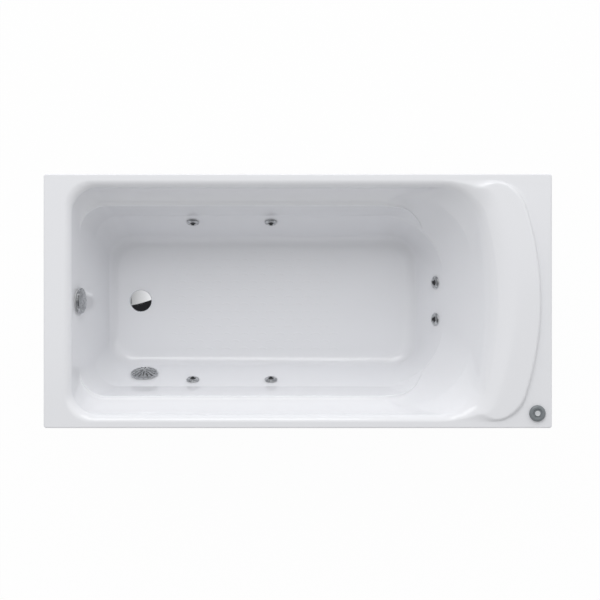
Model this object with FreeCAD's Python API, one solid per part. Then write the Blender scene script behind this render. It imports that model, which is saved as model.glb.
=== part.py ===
"""Jetted bathtub: one moulded acrylic shell on a steel cradle, with pump, jets, waste and overflow.

Frame: millimetres, +Z up. The origin lies on the floor under the middle of the tub, X runs along the
tub from the foot end (waste) to the head end (backrest), and Y runs across it to the far side.
"""
import FreeCAD, Part
import math
import os
from FreeCAD import Vector

# ---------------------------------------------------------------- driving dimensions: the shell
TUB_LENGTH = 1500.0          # outside length of the deck
TUB_WIDTH = 750.0            # outside width of the deck
FLOOR_HEIGHT = 180.0         # basin floor at the waste, above the ground
BASIN_DEPTH = 400.0          # deck top down to the basin floor at the waste
WALL = 5.0                   # moulded skin with its laminate
LIP_HEIGHT = 40.0            # turned-down outer lip
RIM_CORNER = 8.0             # plan radius of the outer corners
RIM_EDGE = 4.0               # rounding of the outer top edge

SIDE_DECK = 18.0             # flat deck beside the mouth, long sides
FOOT_DECK = 60.0             # flat deck at the foot end
MOUTH_ROLL = 18.0            # rounded mouth, sides and foot
UPPER_DRAFT = 9.5            # degrees from vertical, wall above the armrest
LEDGE_DEPTH = 90.0           # deck top down to the armrest edge
LEDGE_WIDTH = 32.0           # how far the armrest scoops inwards
SCOOP_HEIGHT = 30.0          # height over which the wall scoops into the armrest
LEDGE_EDGE = 6.0             # rounding of the armrest's edge
BAND_DRAFT = 8.0             # degrees, steep band below the armrest
BAND_FOOT = 165.0            # basin floor up to the foot of the band
LOWER_DRAFT = 22.0           # degrees, wall between band and floor
FLOOR_FILLET = 26.0          # rounding between walls and floor
FLOOR_FALL = 0.5             # degrees of fall towards the waste
FOOT_DRAFT = 9.5             # degrees, foot wall
FOOT_CORNER = 78.0           # plan radius of the two corners at the foot

FLOOR_END = 380.0            # head end to where backrest and floor would meet
BACKREST_ANGLE = 27.0        # degrees from vertical
BACKREST_BEND = 90.0         # radius of the bend from backrest to headrest
HEAD_CORNER_MOUTH = 105.0    # plan radius of the two head corners at the deck
HEAD_CORNER_LEDGE = 195.0    # the same from armrest to band
HEAD_CORNER_FLOOR = 62.0     # the same at the floor
HEAD_BOW_MOUTH = 1000.0      # radius of the bowed head end at the deck
HEAD_BOW_FLOOR = 3200.0      # the same at the floor

HEADREST_MARGIN = 32.0       # headrest's crease to the outer edge of the deck
HEADREST_SIDE = 13.0         # crease to the outer edge along the long sides
HEADREST_RUN = 320.0         # head end to where the headrest begins to rise out of the deck
HEADREST_RISE = 12.0         # its height above the deck at the crease
HEADREST_CORNER = 112.0      # plan radius of the crease's corners
HEADREST_BOW = 920.0         # radius of the crease across the tub
HEADREST_BREAK = 9.0         # degrees left between bend and headrest plane

# ---------------------------------------------------------------- driving dimensions: fittings
RUNNING_CLEARANCE = 0.05     # between pieces that turn or slide on each other
HOLE_CLEARANCE = 0.5         # between a sleeve and its hole in the shell
GASKET = 3.0

WASTE_FROM_FOOT = 241.0      # foot end to the waste's axis
WASTE_RECESS = 1.0           # flat recess for the flange in the sloping floor
WASTE_SPOT = 0.4             # flat spot for the gasket under the floor
WASTE_FLANGE_R = 37.0
WASTE_FLANGE = 2.5
WASTE_TUBE_R = 25.0
WASTE_TUBE_WALL = 3.0
WASTE_TUBE_DROP = 18.0       # flange tube below the skin
WASTE_BODY_WALL = 3.0
WASTE_BODY_FLANGE_R = 36.0
WASTE_THREAD = 12.0
WASTE_CHAMBER_R = 32.0
WASTE_CHAMBER = 44.0         # height of the chamber
WASTE_CONE = 14.0
WASTE_SPIGOT = 12.0
WASTE_INLET = 52.0           # waste's axis to the end of its side inlet
SPIDER_HUB_R = 7.5
SPIDER_THICK = 6.0
SPIDER_BAR = 3.0
PLUG_R = 34.0
PLUG_GAP = 0.3               # closed plug over its flange
PLUG_RIM = 3.0
PLUG_DOME = 6.0
PLUG_STEM_R = 4.0
PLUG_STEM_OVER = 5.0         # stem past the spider
TRAP_R = 20.0
TRAP_BORE = 17.5
TRAP_BEND = 32.0
TRAP_BEND_SLACK = 2.0        # short straight run left between two bends
TRAP_DIP = 28.0              # centre of the lowest bend above the ground
TRAP_OUTLET_Y = 190.0
TRAP_NUT_R = 28.0
TRAP_NUT_LENGTH = 18.0

OVERFLOW_DEPTH = 75.0        # deck top down to the knob's centre
OVERFLOW_KNOB_R = 39.0
OVERFLOW_KNOB_THICK = 9.0
OVERFLOW_SCALLOPS = 6
OVERFLOW_STANDOFF = 3.0      # open ring for water behind the knob
OVERFLOW_FLANGE = 2.0
OVERFLOW_FLANGE_R = 32.0
OVERFLOW_SLEEVE_R = 27.0
OVERFLOW_THREAD = 8.0
OVERFLOW_BODY_R = 36.0
OVERFLOW_BODY_DEPTH = 34.0
OVERFLOW_HUB_R = 10.0
OVERFLOW_HUB_LENGTH = 16.0
OVERFLOW_SPINDLE_R = 6.0
OVERFLOW_REACH = 27.0        # wall to the centre of the spigot
OVERFLOW_SPIGOT = 50.0       # knob's centre down to the spigot's end
OVERFLOW_PIPE_R = 16.0
OVERFLOW_PIPE_BORE = 13.5
OVERFLOW_PIPE_BEND = 40.0
OVERFLOW_RUN_DROP = 27.0     # floor's underside down to the centre of the pipe's level run

SUCTION_FROM_FOOT = 262.0    # foot end to the intake's centre
SUCTION_HEIGHT = 85.0        # intake's centre above the basin floor
SUCTION_COVER_R = 43.0
SUCTION_COVER_WALL = 2.5
SUCTION_COVER_RIM = 3.0
SUCTION_COVER_DOME = 8.0
SUCTION_SLOTS = 16
SUCTION_SLOT_WIDTH = 4.0
SUCTION_SCREW_R = 3.0
SUCTION_FLANGE_R = 40.0
SUCTION_FLANGE = 4.0
SUCTION_SLEEVE_R = 27.0
SUCTION_SLEEVE_BORE = 23.5
SUCTION_THREAD = 16.0
SUCTION_CONE = 12.0
SUCTION_CUP_WALL = 3.0
SUCTION_REACH = 85.0         # wall to the pipe's centre line
SUCTION_STUB = 45.0
SUCTION_PIPE_R = 24.0
SUCTION_PIPE_BORE = 21.0
SUCTION_BEND = 60.0

JETS_FROM_FOOT = (419.0, 665.0)   # foot end to the jets of each side wall
JET_HEIGHT = 125.0           # side jets above the basin floor
BACK_JET_HEIGHT = 128.0      # backrest jets above the basin floor
BACK_JET_Y = 58.0
JET_RING_R = 20.0
JET_RING_HEIGHT = 6.0
JET_SKIRT = 9.0
JET_NOTCHES = 6
JET_FLANGE_R = 18.5
JET_FLANGE = 2.0
JET_SLEEVE_R = 15.5
JET_SLEEVE_BORE = 13.5
JET_THREAD = 10.0
JET_GASKET = 2.0
JET_BALL_R = 11.0
JET_BALL_Z = -1.0            # ball centre over the wet face
JET_BALL_CLEARANCE = 0.3
JET_MOUTH_R = 8.5            # opening in front of the ball
JET_SPOUT_R = 5.4
JET_SPOUT_PROUD = 1.0
JET_THROAT_R = 3.8
JET_BODY_FLANGE_R = 24.0
JET_BODY_FLANGE = 4.0
JET_CHAMBER_R = 19.0
JET_CHAMBER_WALL = 3.0
JET_CHAMBER_TAIL = 17.0      # chamber behind the main's centre line
JET_STUB = 30.0              # half length of the tee in the ring main

MAIN_R = 16.0
MAIN_BORE = 13.5
MAIN_BEND = 50.0
AIR_PORT_R = 8.0
AIR_PORT_BORE = 5.0
AIR_PORT_HEIGHT = 28.0       # top of the air port above the ring main's centre
AIR_MAIN_R = 10.0
AIR_MAIN_BORE = 7.5
AIR_MAIN_RISE = 44.0         # air main above the ring main
AIR_MAIN_BEND = 30.0
AIR_FEED_BEND = 18.0

CONTROL_MARGIN = 44.0        # control's centre to the two outer edges of the deck
CONTROL_FLANGE_R = 22.0
CONTROL_FLANGE = 2.0
CONTROL_COLLAR = 7.0         # collar's top above the deck
CONTROL_COLLAR_R = 12.0
CONTROL_RING_R = 24.0
CONTROL_RING_HEIGHT = 8.0
CONTROL_NOTCHES = 16
CONTROL_HOUSING_R = 15.0
CONTROL_HOUSING = 75.0       # deck down to the housing's outlet
CONTROL_CONE = 10.0
CONTROL_NUT_R = 21.0
CONTROL_NUT_THICK = 7.0
BUTTON_R = 8.0
BUTTON_BORE = 18.0
BUTTON_TRAVEL = 3.0

# ---------------------------------------------------------------- driving dimensions: cradle
BOARD_THICK = 18.0
BOARD_SIDE_MARGIN = 195.0    # board's edge in from the long sides
BOARD_FOOT_MARGIN = 320.0    # the same at the foot end
BOARD_HEAD_MARGIN = 430.0    # the same at the head end
BOARD_CORNER = 30.0
BOARD_BEDDING = 20.0         # resin that fills up to the sloping floor
TUBE = 30.0                  # square tube of the cradle
TUBE_WALL = 2.0
RAIL_Y = 130.0
FOOT_CROSS_INSET = 50.0      # foot end to the first cross member
MIDDLE_CROSS_X = -60.0
HEAD_CROSS_INSET = 110.0     # head end to the last cross member
CROSS_OVERHANG = 15.0        # rails past the outer cross members
UPRIGHT = 25.0
UPRIGHT_INSET = 30.0         # uprights in from the long sides
BATTEN_WIDTH = 20.0
BATTEN_HEIGHT = 24.0
BATTEN_DROP = 16.0           # deck top down to the batten
BATTEN_FOOT_MARGIN = 110.0
BATTEN_HEAD_MARGIN = 280.0
BOLT_R = 4.0
BOLT_HEAD_R = 7.5
BOLT_HEAD = 5.0
BOLT_CLEARANCE = 0.3
LEVELLER_INSET = 125.0       # feet in from the long sides
LEVELLER_PAD_R = 25.0
LEVELLER_PAD = 10.0
LEVELLER_STEM_R = 6.0
LEVELLER_STEM_OVER = 43.0    # stem above the underside of its cross member
LEVELLER_NUT_R = 10.0
LEVELLER_NUT = 8.0

# ---------------------------------------------------------------- driving dimensions: pump
PUMP_FROM_HEAD = 150.0       # head end to the pump's shaft
VOLUTE_Y = -120.0            # middle of the volute
VOLUTE_R = 66.0
VOLUTE_WIDTH = 56.0
VOLUTE_WALL = 5.0
VOLUTE_RISE = 55.0           # outlet's centre above the shaft
VOLUTE_OUTLET = 92.0         # shaft to the outlet's face
INLET_LENGTH = 30.0
UNION_R = 34.0
MAIN_UNION_R = 25.0
UNION_LENGTH = 22.0
SHAFT_R = 8.0
IMPELLER_R = 50.0
IMPELLER_THICK = 3.0
IMPELLER_VANES = 6
IMPELLER_GAP = 3.0
VANE_HEIGHT = 12.0
VANE_THICK = 3.0
MOTOR_R = 60.0
MOTOR_LENGTH = 190.0
MOTOR_END = 12.0             # plain casing before and after the fins
MOTOR_FINS = 20
FIN_HEIGHT = 7.0
FIN_THICK = 2.5
FIN_FREE = 50.0              # degrees left without fins over the saddle
FAN_R = 48.0
FAN_BLADES = 7
FAN_WIDTH = 16.0
FAN_GAP = 6.0
FAN_COVER_LENGTH = 40.0
FAN_COVER_WALL = 2.0
FAN_COVER_SLOTS = 10
BRACKET_THICK = 4.0
BRACKET_HALF_X = 55.0
BRACKET_OVERHANG = 20.0      # plate past the middle of the rails
SADDLE_THICK = 14.0
SADDLE_HALF = 40.0
SADDLE_WRAP = 45.0           # degrees up the motor that the saddle reaches
BOX_WIDTH = 120.0
BOX_HEIGHT = 140.0
BOX_DEPTH = 50.0
BOX_BOTTOM = 300.0
BOX_EDGE = 6.0
GLAND_R = 9.0
GLAND_BORE = 4.5
GLAND_LENGTH = 20.0
GLAND_OFFSET = 40.0          # gland beside the box's middle, clear of the cross member below

# ---------------------------------------------------------------- derived places
HALF_LENGTH = TUB_LENGTH / 2
HALF_WIDTH = TUB_WIDTH / 2
RIM_HEIGHT = FLOOR_HEIGHT + BASIN_DEPTH
FLOOR_UNDER = FLOOR_HEIGHT - WALL
BOARD_UNDER = FLOOR_UNDER - BOARD_THICK
RAIL_UNDER = BOARD_UNDER - TUBE
CROSS_UNDER = RAIL_UNDER - TUBE
BAND_DEPTH = BASIN_DEPTH - BAND_FOOT
FLOOR_HEAD_X = HALF_LENGTH - FLOOR_END
HEADREST_START = HALF_LENGTH - HEADREST_RUN
WASTE_X = WASTE_FROM_FOOT - HALF_LENGTH
TRAP_OUTLET_Z = TRAP_DIP + 2 * TRAP_BEND
OVERFLOW_RUN_Z = FLOOR_UNDER - OVERFLOW_RUN_DROP
SUCTION_X = SUCTION_FROM_FOOT - HALF_LENGTH
SUCTION_DEPTH = BASIN_DEPTH - SUCTION_HEIGHT
SIDE_JETS_X = [place - HALF_LENGTH for place in JETS_FROM_FOOT]
JET_DEPTH = BASIN_DEPTH - JET_HEIGHT
BACK_JET_DEPTH = BASIN_DEPTH - BACK_JET_HEIGHT
CONTROL_X = HALF_LENGTH - CONTROL_MARGIN
CONTROL_Y = CONTROL_MARGIN - HALF_WIDTH
BOARD_HALF_WIDTH = HALF_WIDTH - BOARD_SIDE_MARGIN
BOARD_FOOT_X = BOARD_FOOT_MARGIN - HALF_LENGTH
BOARD_HEAD_X = HALF_LENGTH - BOARD_HEAD_MARGIN
FOOT_CROSS_X = FOOT_CROSS_INSET - HALF_LENGTH
HEAD_CROSS_X = HALF_LENGTH - HEAD_CROSS_INSET
UPRIGHT_Y = HALF_WIDTH - UPRIGHT_INSET
BATTEN_FOOT_X = BATTEN_FOOT_MARGIN - HALF_LENGTH
BATTEN_HEAD_X = HALF_LENGTH - BATTEN_HEAD_MARGIN
LEVELLER_Y = HALF_WIDTH - LEVELLER_INSET
LEVELLER_STEM_TOP = CROSS_UNDER + LEVELLER_STEM_OVER
PUMP_X = HALF_LENGTH - PUMP_FROM_HEAD
BRACKET_HALF_Y = RAIL_Y + BRACKET_OVERHANG
ABOVE = 60.0                 # how far cutting tools run past the deck
Z_AXIS = Vector(0, 0, 1)


def sine(degrees):
    return math.sin(math.radians(degrees))


def cosine(degrees):
    return math.cos(math.radians(degrees))


def tangent(degrees):
    return math.tan(math.radians(degrees))


def quarter(share):
    """Quarter circle that falls from 1 to 0 and ends level as share goes from 0 to 1."""
    rest = 1 - min(max(share, 0.0), 1.0)
    return 1 - math.sqrt(max(1 - rest * rest, 0.0))


# ---------------------------------------------------------------- the basin's shape by depth
def side_at(depth):
    """Half width of the basin at a depth below the deck."""
    wall_top = HALF_WIDTH - SIDE_DECK - MOUTH_ROLL
    scoop_top = LEDGE_DEPTH - SCOOP_HEIGHT
    edge_end = LEDGE_DEPTH + LEDGE_EDGE
    if depth <= LEDGE_DEPTH:
        roll = MOUTH_ROLL * quarter(depth / MOUTH_ROLL)
        scoop = LEDGE_WIDTH * quarter(1 - (depth - scoop_top) / SCOOP_HEIGHT)
        return wall_top + roll - max(depth, 0.0) * tangent(UPPER_DRAFT) - scoop
    ledge_y = wall_top - LEDGE_DEPTH * tangent(UPPER_DRAFT) - LEDGE_WIDTH
    edge = LEDGE_EDGE * (1 - quarter((depth - LEDGE_DEPTH) / LEDGE_EDGE))
    band = (min(depth, BAND_DEPTH) - edge_end) * tangent(BAND_DRAFT)
    lower = max(depth - BAND_DEPTH, 0.0) * tangent(LOWER_DRAFT)
    return ledge_y - edge - max(band, 0.0) - lower + floor_round(depth)


def floor_round(depth):
    """How far the floor's rounding draws a wall in, as a negative number."""
    above_floor = BASIN_DEPTH - depth
    return -FLOOR_FILLET * quarter(above_floor / FLOOR_FILLET)


def foot_at(depth):
    """X of the foot wall at a depth."""
    wall_top = -HALF_LENGTH + FOOT_DECK + MOUTH_ROLL
    roll = MOUTH_ROLL * quarter(depth / MOUTH_ROLL)
    return wall_top - roll + max(depth, 0.0) * tangent(FOOT_DRAFT) - floor_round(depth)


def headrest_height(x):
    """Height of the headrest's plane above the deck."""
    slope = HEADREST_RISE / (HALF_LENGTH - HEADREST_MARGIN - HEADREST_START)
    return (x - HEADREST_START) * slope


def head_at(depth):
    """X of the backrest at a depth; above the deck it goes on over the bend."""
    slope = headrest_height(HEADREST_START + 1)
    lean = tangent(BACKREST_ANGLE)
    line_top = FLOOR_HEAD_X + BASIN_DEPTH * lean + BACKREST_BEND / cosine(BACKREST_ANGLE)
    crest_run = BACKREST_BEND * sine(HEADREST_BREAK)
    crest_fall = BACKREST_BEND * cosine(HEADREST_BREAK)
    reach = crest_fall + slope * (crest_run + HEADREST_START)
    centre_depth = (reach - slope * line_top) / (1 - slope * lean)
    centre_x = line_top - centre_depth * lean
    crest_depth = centre_depth - crest_fall
    bend_end = centre_depth - BACKREST_BEND * sine(BACKREST_ANGLE)
    if depth <= crest_depth:
        return centre_x - crest_run + (crest_depth - depth) / tangent(HEADREST_BREAK)
    if depth <= bend_end:
        return centre_x - math.sqrt(BACKREST_BEND ** 2 - (centre_depth - depth) ** 2)
    return FLOOR_HEAD_X + (BASIN_DEPTH - depth) * lean + floor_round(depth)


def head_corner_at(depth):
    to_ledge = min(max(depth / LEDGE_DEPTH, 0.0), 1.0)
    to_floor = min(max((depth - BAND_DEPTH) / (BASIN_DEPTH - BAND_DEPTH), 0.0), 1.0)
    upper = HEAD_CORNER_MOUTH + (HEAD_CORNER_LEDGE - HEAD_CORNER_MOUTH) * to_ledge
    return upper + (HEAD_CORNER_FLOOR - upper) * to_floor


def head_bow_at(depth):
    share = min(max(depth / BASIN_DEPTH, 0.0), 1.0)
    return HEAD_BOW_MOUTH + (HEAD_BOW_FLOOR - HEAD_BOW_MOUTH) * share


def plan_wire(foot, head, half, foot_r, head_r, bow):
    """Closed outline: straight foot and sides, bowed head end, four tangent corner arcs."""
    bow_x = head - bow
    corner_x = bow_x + math.sqrt((bow - head_r) ** 2 - (half - head_r) ** 2)
    corner = Vector(corner_x, half - head_r, 0)
    to_corner = (corner - Vector(bow_x, 0, 0)).normalize()
    bow_end = Vector(bow_x, 0, 0) + to_corner * bow
    halfway = (to_corner + Vector(0, 1, 0)).normalize()
    head_mid = corner + halfway * head_r
    side_end = Vector(corner_x, half, 0)
    foot_centre = Vector(foot + foot_r, half - foot_r, 0)
    foot_mid = foot_centre + Vector(-1, 1, 0).normalize() * foot_r
    foot_side = Vector(foot + foot_r, half, 0)
    foot_end = Vector(foot, half - foot_r, 0)

    def near(point):
        return Vector(point.x, -point.y, 0)

    edges = [
        Part.LineSegment(near(foot_end), foot_end),
        Part.Arc(foot_end, foot_mid, foot_side),
        Part.LineSegment(foot_side, side_end),
        Part.Arc(side_end, head_mid, bow_end),
        Part.Arc(bow_end, Vector(head, 0, 0), near(bow_end)),
        Part.Arc(near(bow_end), near(head_mid), near(side_end)),
        Part.LineSegment(near(side_end), near(foot_side)),
        Part.Arc(near(foot_side), near(foot_mid), near(foot_end)),
    ]
    return Part.Wire([edge.toShape() for edge in edges])


def basin_section(depth, grow):
    """Section of the basin at a depth; grow moves it out and down by the skin's thickness."""
    wire = plan_wire(foot_at(depth) - grow, head_at(depth) + grow, side_at(depth) + grow,
                     FOOT_CORNER + grow, head_corner_at(depth) + grow, head_bow_at(depth) + grow)
    wire.translate(Vector(0, 0, RIM_HEIGHT - depth - grow))
    fall = FLOOR_FALL * (1 - min((BASIN_DEPTH - depth) / FLOOR_FILLET, 1.0))
    pivot = Vector(WASTE_X, 0, RIM_HEIGHT - depth - grow)
    wire.rotate(pivot, Vector(0, 1, 0), -fall)
    return wire


def spread(start, end, steps):
    return [start + (end - start) * step / steps for step in range(steps + 1)]


def rounded(start, end, steps):
    """Depths that crowd towards start, for a stretch that turns sharply there."""
    return [start + (end - start) * (1 - cosine(90.0 * step / steps)) for step in range(steps + 1)]


def basin_depths():
    """Depths of the sections from the floor up to the deck, close together where a wall turns."""
    scoop_top = LEDGE_DEPTH - SCOOP_HEIGHT
    runs = [
        rounded(BASIN_DEPTH, BASIN_DEPTH - FLOOR_FILLET, 6),
        [BAND_DEPTH],
        rounded(LEDGE_DEPTH, LEDGE_DEPTH + LEDGE_EDGE, 3)[::-1],
        rounded(LEDGE_DEPTH, scoop_top, 7)[1:],
        spread(scoop_top, MOUTH_ROLL, 4)[1:],
        rounded(0.0, MOUTH_ROLL, 7)[-2::-1],
    ]
    return [depth for run in runs for depth in run]


def basin_sections(grow):
    return [basin_section(depth, grow) for depth in basin_depths()]


def over_the_mouth(grow):
    """Sections above the deck that follow the bend of the backrest up past the headrest."""
    sections = []
    for depth in spread(0.0, -headrest_height(HALF_LENGTH), 5)[1:]:
        wire = plan_wire(foot_at(0) - grow, head_at(depth) + grow, side_at(0) + grow,
                         FOOT_CORNER + grow, HEAD_CORNER_MOUTH + grow, HEAD_BOW_MOUTH + grow)
        wire.translate(Vector(0, 0, RIM_HEIGHT - depth - grow))
        sections.append(wire)
    return sections


def collar():
    """Section that carries the outer skin, which starts one skin lower, up into the deck."""
    wire = basin_section(0.0, WALL)
    wire.translate(Vector(0, 0, WALL / 2))
    return [wire]


def stacked(sections):
    """Solid through all the sections, with a ruled band between each two."""
    return Part.makeLoft(sections, True, True)


def slab_under_headrest(drop):
    """Half space under the headrest's rising plane, lowered by drop."""
    slope = math.degrees(math.atan(headrest_height(HEADREST_START + 1)))
    slab = Part.makeBox(2 * TUB_LENGTH, 2 * TUB_WIDTH, TUB_WIDTH,
                        Vector(-TUB_LENGTH, -TUB_WIDTH, -TUB_WIDTH))
    slab.rotate(Vector(0, 0, 0), Vector(0, 1, 0), -slope)
    slab.translate(Vector(HEADREST_START, 0, RIM_HEIGHT - drop))
    return slab


def headrest(shrink):
    """Wedge that rises from the deck behind the basin; shrink gives its hollow underside."""
    wire = plan_wire(0.0, HALF_LENGTH - HEADREST_MARGIN - shrink, HALF_WIDTH - HEADREST_SIDE - shrink,
                     FOOT_CORNER, HEADREST_CORNER - shrink, HEADREST_BOW - shrink)
    prism = Part.Face(wire).extrude(Vector(0, 0, ABOVE))
    prism.translate(Vector(0, 0, RIM_HEIGHT - WALL - shrink))
    start = Part.makeBox(TUB_LENGTH, TUB_WIDTH, 3 * ABOVE,
                         Vector(HEADREST_START, -HALF_WIDTH, RIM_HEIGHT - ABOVE))
    return prism.common(slab_under_headrest(shrink)).common(start)


def deck_plate():
    """Flat deck with its turned-down lip, open below."""
    block = Part.makeBox(TUB_LENGTH, TUB_WIDTH, LIP_HEIGHT,
                         Vector(-HALF_LENGTH, -HALF_WIDTH, RIM_HEIGHT - LIP_HEIGHT))
    upright = [edge for edge in block.Edges if abs(edge.Length - LIP_HEIGHT) < 1e-6]
    block = block.makeFillet(RIM_CORNER, upright)
    top = [edge for edge in block.Edges if edge.BoundBox.ZMin > RIM_HEIGHT - 1e-6]
    block = block.makeFillet(RIM_EDGE, top)
    hollow = Part.makeBox(TUB_LENGTH - 2 * WALL, TUB_WIDTH - 2 * WALL, LIP_HEIGHT - WALL,
                          Vector(-HALF_LENGTH + WALL, -HALF_WIDTH + WALL, RIM_HEIGHT - LIP_HEIGHT))
    return block.cut(hollow)


# ---------------------------------------------------------------- seats on the basin's walls
class Seat:
    """A point on a wall's wet face, with its normal into the basin and one direction along it."""

    def __init__(self, point, normal, along):
        self.point = point
        self.normal = normal
        self.rotation = FreeCAD.Rotation(along, normal.cross(along), normal, "ZXY")

    def place(self, shape):
        moved = shape.copy()
        moved.Placement = FreeCAD.Placement(self.point, self.rotation).multiply(moved.Placement)
        return moved

    def behind(self, distance):
        return self.point - self.normal * distance


def side_seat(x, depth, side):
    point = Vector(x, side * side_at(depth), RIM_HEIGHT - depth)
    normal = Vector(0, -side * cosine(LOWER_DRAFT), sine(LOWER_DRAFT))
    return Seat(point, normal, Vector(1, 0, 0))


def back_seat(y, depth):
    bow = head_bow_at(depth)
    swing = math.asin(y / bow)
    point = Vector(head_at(depth) - bow * (1 - math.cos(swing)), y, RIM_HEIGHT - depth)
    level = cosine(BACKREST_ANGLE)
    normal = Vector(-math.cos(swing) * level, -math.sin(swing) * level, sine(BACKREST_ANGLE))
    return Seat(point, normal, Vector(-math.sin(swing), math.cos(swing), 0))


def skin(angle):
    """Thickness of the skin square to a wall that leans by angle."""
    return WALL * (cosine(angle) + sine(angle))


def disc(radius, bottom, height):
    return Part.makeCylinder(radius, height, Vector(0, 0, bottom), Z_AXIS)


def ring(outer, inner, bottom, height):
    return disc(outer, bottom, height).cut(disc(inner, bottom, height))


def rod(start, end, radius):
    return Part.makeCylinder(radius, (end - start).Length, start, end - start)


def turned(points):
    """Solid turned about Z from (radius, height) points."""
    outline = Part.makePolygon([Vector(r, 0, z) for r, z in points + [points[0]]])
    return Part.Face(outline).revolve(Vector(0, 0, 0), Z_AXIS, 360)


def hexagon(across_corners_r, bottom, height):
    corners = [Vector(across_corners_r * cosine(60 * i), across_corners_r * sine(60 * i), bottom)
               for i in range(7)]
    return Part.Face(Part.makePolygon(corners)).extrude(Vector(0, 0, height))


def around(shape, count, step=None):
    """Copies of a shape turned about Z."""
    step = 360.0 / count if step is None else step
    copies = []
    for index in range(count):
        copy = shape.copy()
        copy.rotate(Vector(0, 0, 0), Z_AXIS, index * step)
        copies.append(copy)
    return copies


def bent_path(points, bend):
    """Straight runs joined by tangent arcs of one radius."""
    edges = []
    start = points[0]
    for before, corner, after in zip(points, points[1:], points[2:]):
        back = (before - corner).normalize()
        ahead = (after - corner).normalize()
        half_turn = (math.pi - back.getAngle(ahead)) / 2
        trim = bend * math.tan(half_turn)
        to_middle = (back + ahead).normalize()
        middle = corner + to_middle * (bend / math.cos(half_turn) - bend)
        first = corner + back * trim
        last = corner + ahead * trim
        edges.append(Part.LineSegment(start, first).toShape())
        edges.append(Part.Arc(first, middle, last).toShape())
        start = last
    edges.append(Part.LineSegment(start, points[-1]).toShape())
    return Part.Wire(edges)


def swept(points, bend, radius):
    path = bent_path(points, bend)
    direction = (points[1] - points[0]).normalize()
    profile = Part.Wire([Part.makeCircle(radius, points[0], direction)])
    return path.makePipeShell([profile], True, False)


def pipe(points, bend, radius, bore):
    return swept(points, bend, radius).cut(swept(points, bend, bore))


# ---------------------------------------------------------------- where the fittings sit
def jet_seats():
    seats = [side_seat(x, JET_DEPTH, side) for side in (-1, 1) for x in SIDE_JETS_X]
    return seats + [back_seat(y, BACK_JET_DEPTH) for y in (-BACK_JET_Y, BACK_JET_Y)]


def jet_skin(index):
    return skin(LOWER_DRAFT if index < 2 * len(SIDE_JETS_X) else BACKREST_ANGLE)


SUCTION_SEAT = side_seat(SUCTION_X, SUCTION_DEPTH, -1)
SUCTION_ELBOW = SUCTION_SEAT.behind(SUCTION_REACH)
PUMP_Z = SUCTION_ELBOW.z
PUMP_SEAT = Seat(Vector(PUMP_X, VOLUTE_Y, PUMP_Z), Vector(0, -1, 0), Vector(1, 0, 0))
MAIN_Z = PUMP_Z + VOLUTE_RISE
AIR_Z = MAIN_Z + AIR_MAIN_RISE
OVERFLOW_SEAT = Seat(Vector(foot_at(OVERFLOW_DEPTH), 0, RIM_HEIGHT - OVERFLOW_DEPTH),
                     Vector(cosine(FOOT_DRAFT), 0, sine(FOOT_DRAFT)), Vector(0, 1, 0))
OVERFLOW_SPIGOT_Z = OVERFLOW_SEAT.point.z - OVERFLOW_SPIGOT
CONTROL_SEAT = Seat(Vector(CONTROL_X, CONTROL_Y, RIM_HEIGHT), Z_AXIS, Vector(1, 0, 0))
CONTROL_FOOT_Z = RIM_HEIGHT - CONTROL_HOUSING
WASTE_SEAT = Seat(Vector(WASTE_X, 0, FLOOR_HEIGHT - WASTE_RECESS), Z_AXIS, Vector(1, 0, 0))
WASTE_SPOT_Z = FLOOR_UNDER + WASTE_SPOT
WASTE_CHAMBER_FOOT = WASTE_SPOT_Z - GASKET - WASTE_CHAMBER
TRAP_TOP = WASTE_CHAMBER_FOOT - WASTE_CONE - WASTE_SPIGOT


def jet_reach(seat):
    """Distance behind the wet face at which the ring main passes."""
    return (seat.point.z - MAIN_Z) / seat.normal.z


def jet_centre(seat):
    return seat.behind(jet_reach(seat))


# ---------------------------------------------------------------- shell
def through_hole(radius):
    return disc(radius, -3 * WALL, 6 * WALL)


def tub_shell():
    """The moulded acrylic shell: deck, lip, headrest and basin, with a hole for each fitting."""
    deck = deck_plate().fuse(headrest(0.0)).cut(headrest(WALL))
    bend = stacked([basin_section(0.0, WALL)] + over_the_mouth(WALL)).common(headrest(0.0))
    body = deck.fuse(stacked(basin_sections(WALL) + collar()).fuse(bend))
    body = body.cut(stacked(basin_sections(0.0) + over_the_mouth(0.0)))
    cuts = [seat.place(through_hole(JET_SLEEVE_R + HOLE_CLEARANCE)) for seat in jet_seats()]
    cuts.append(SUCTION_SEAT.place(through_hole(SUCTION_SLEEVE_R + HOLE_CLEARANCE)))
    cuts.append(OVERFLOW_SEAT.place(through_hole(OVERFLOW_SLEEVE_R + HOLE_CLEARANCE)))
    cuts.append(CONTROL_SEAT.place(through_hole(CONTROL_HOUSING_R + HOLE_CLEARANCE)))
    cuts.append(WASTE_SEAT.place(through_hole(WASTE_TUBE_R + HOLE_CLEARANCE)))
    cuts.append(WASTE_SEAT.place(disc(WASTE_FLANGE_R + 2 * HOLE_CLEARANCE, 0.0, WALL)))
    cuts.append(disc(WASTE_BODY_FLANGE_R + 2 * HOLE_CLEARANCE, WASTE_SPOT_Z - WALL, WALL))
    cuts[-1].translate(Vector(WASTE_X, 0, 0))
    for index, seat in enumerate(jet_seats()):
        cuts.append(seat.place(disc(JET_FLANGE_R + HOLE_CLEARANCE, 0.0, WALL)))
        cuts.append(seat.place(disc(JET_BODY_FLANGE_R + HOLE_CLEARANCE, -jet_skin(index) - WALL, WALL)))
    return body.cut(cuts)


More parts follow.
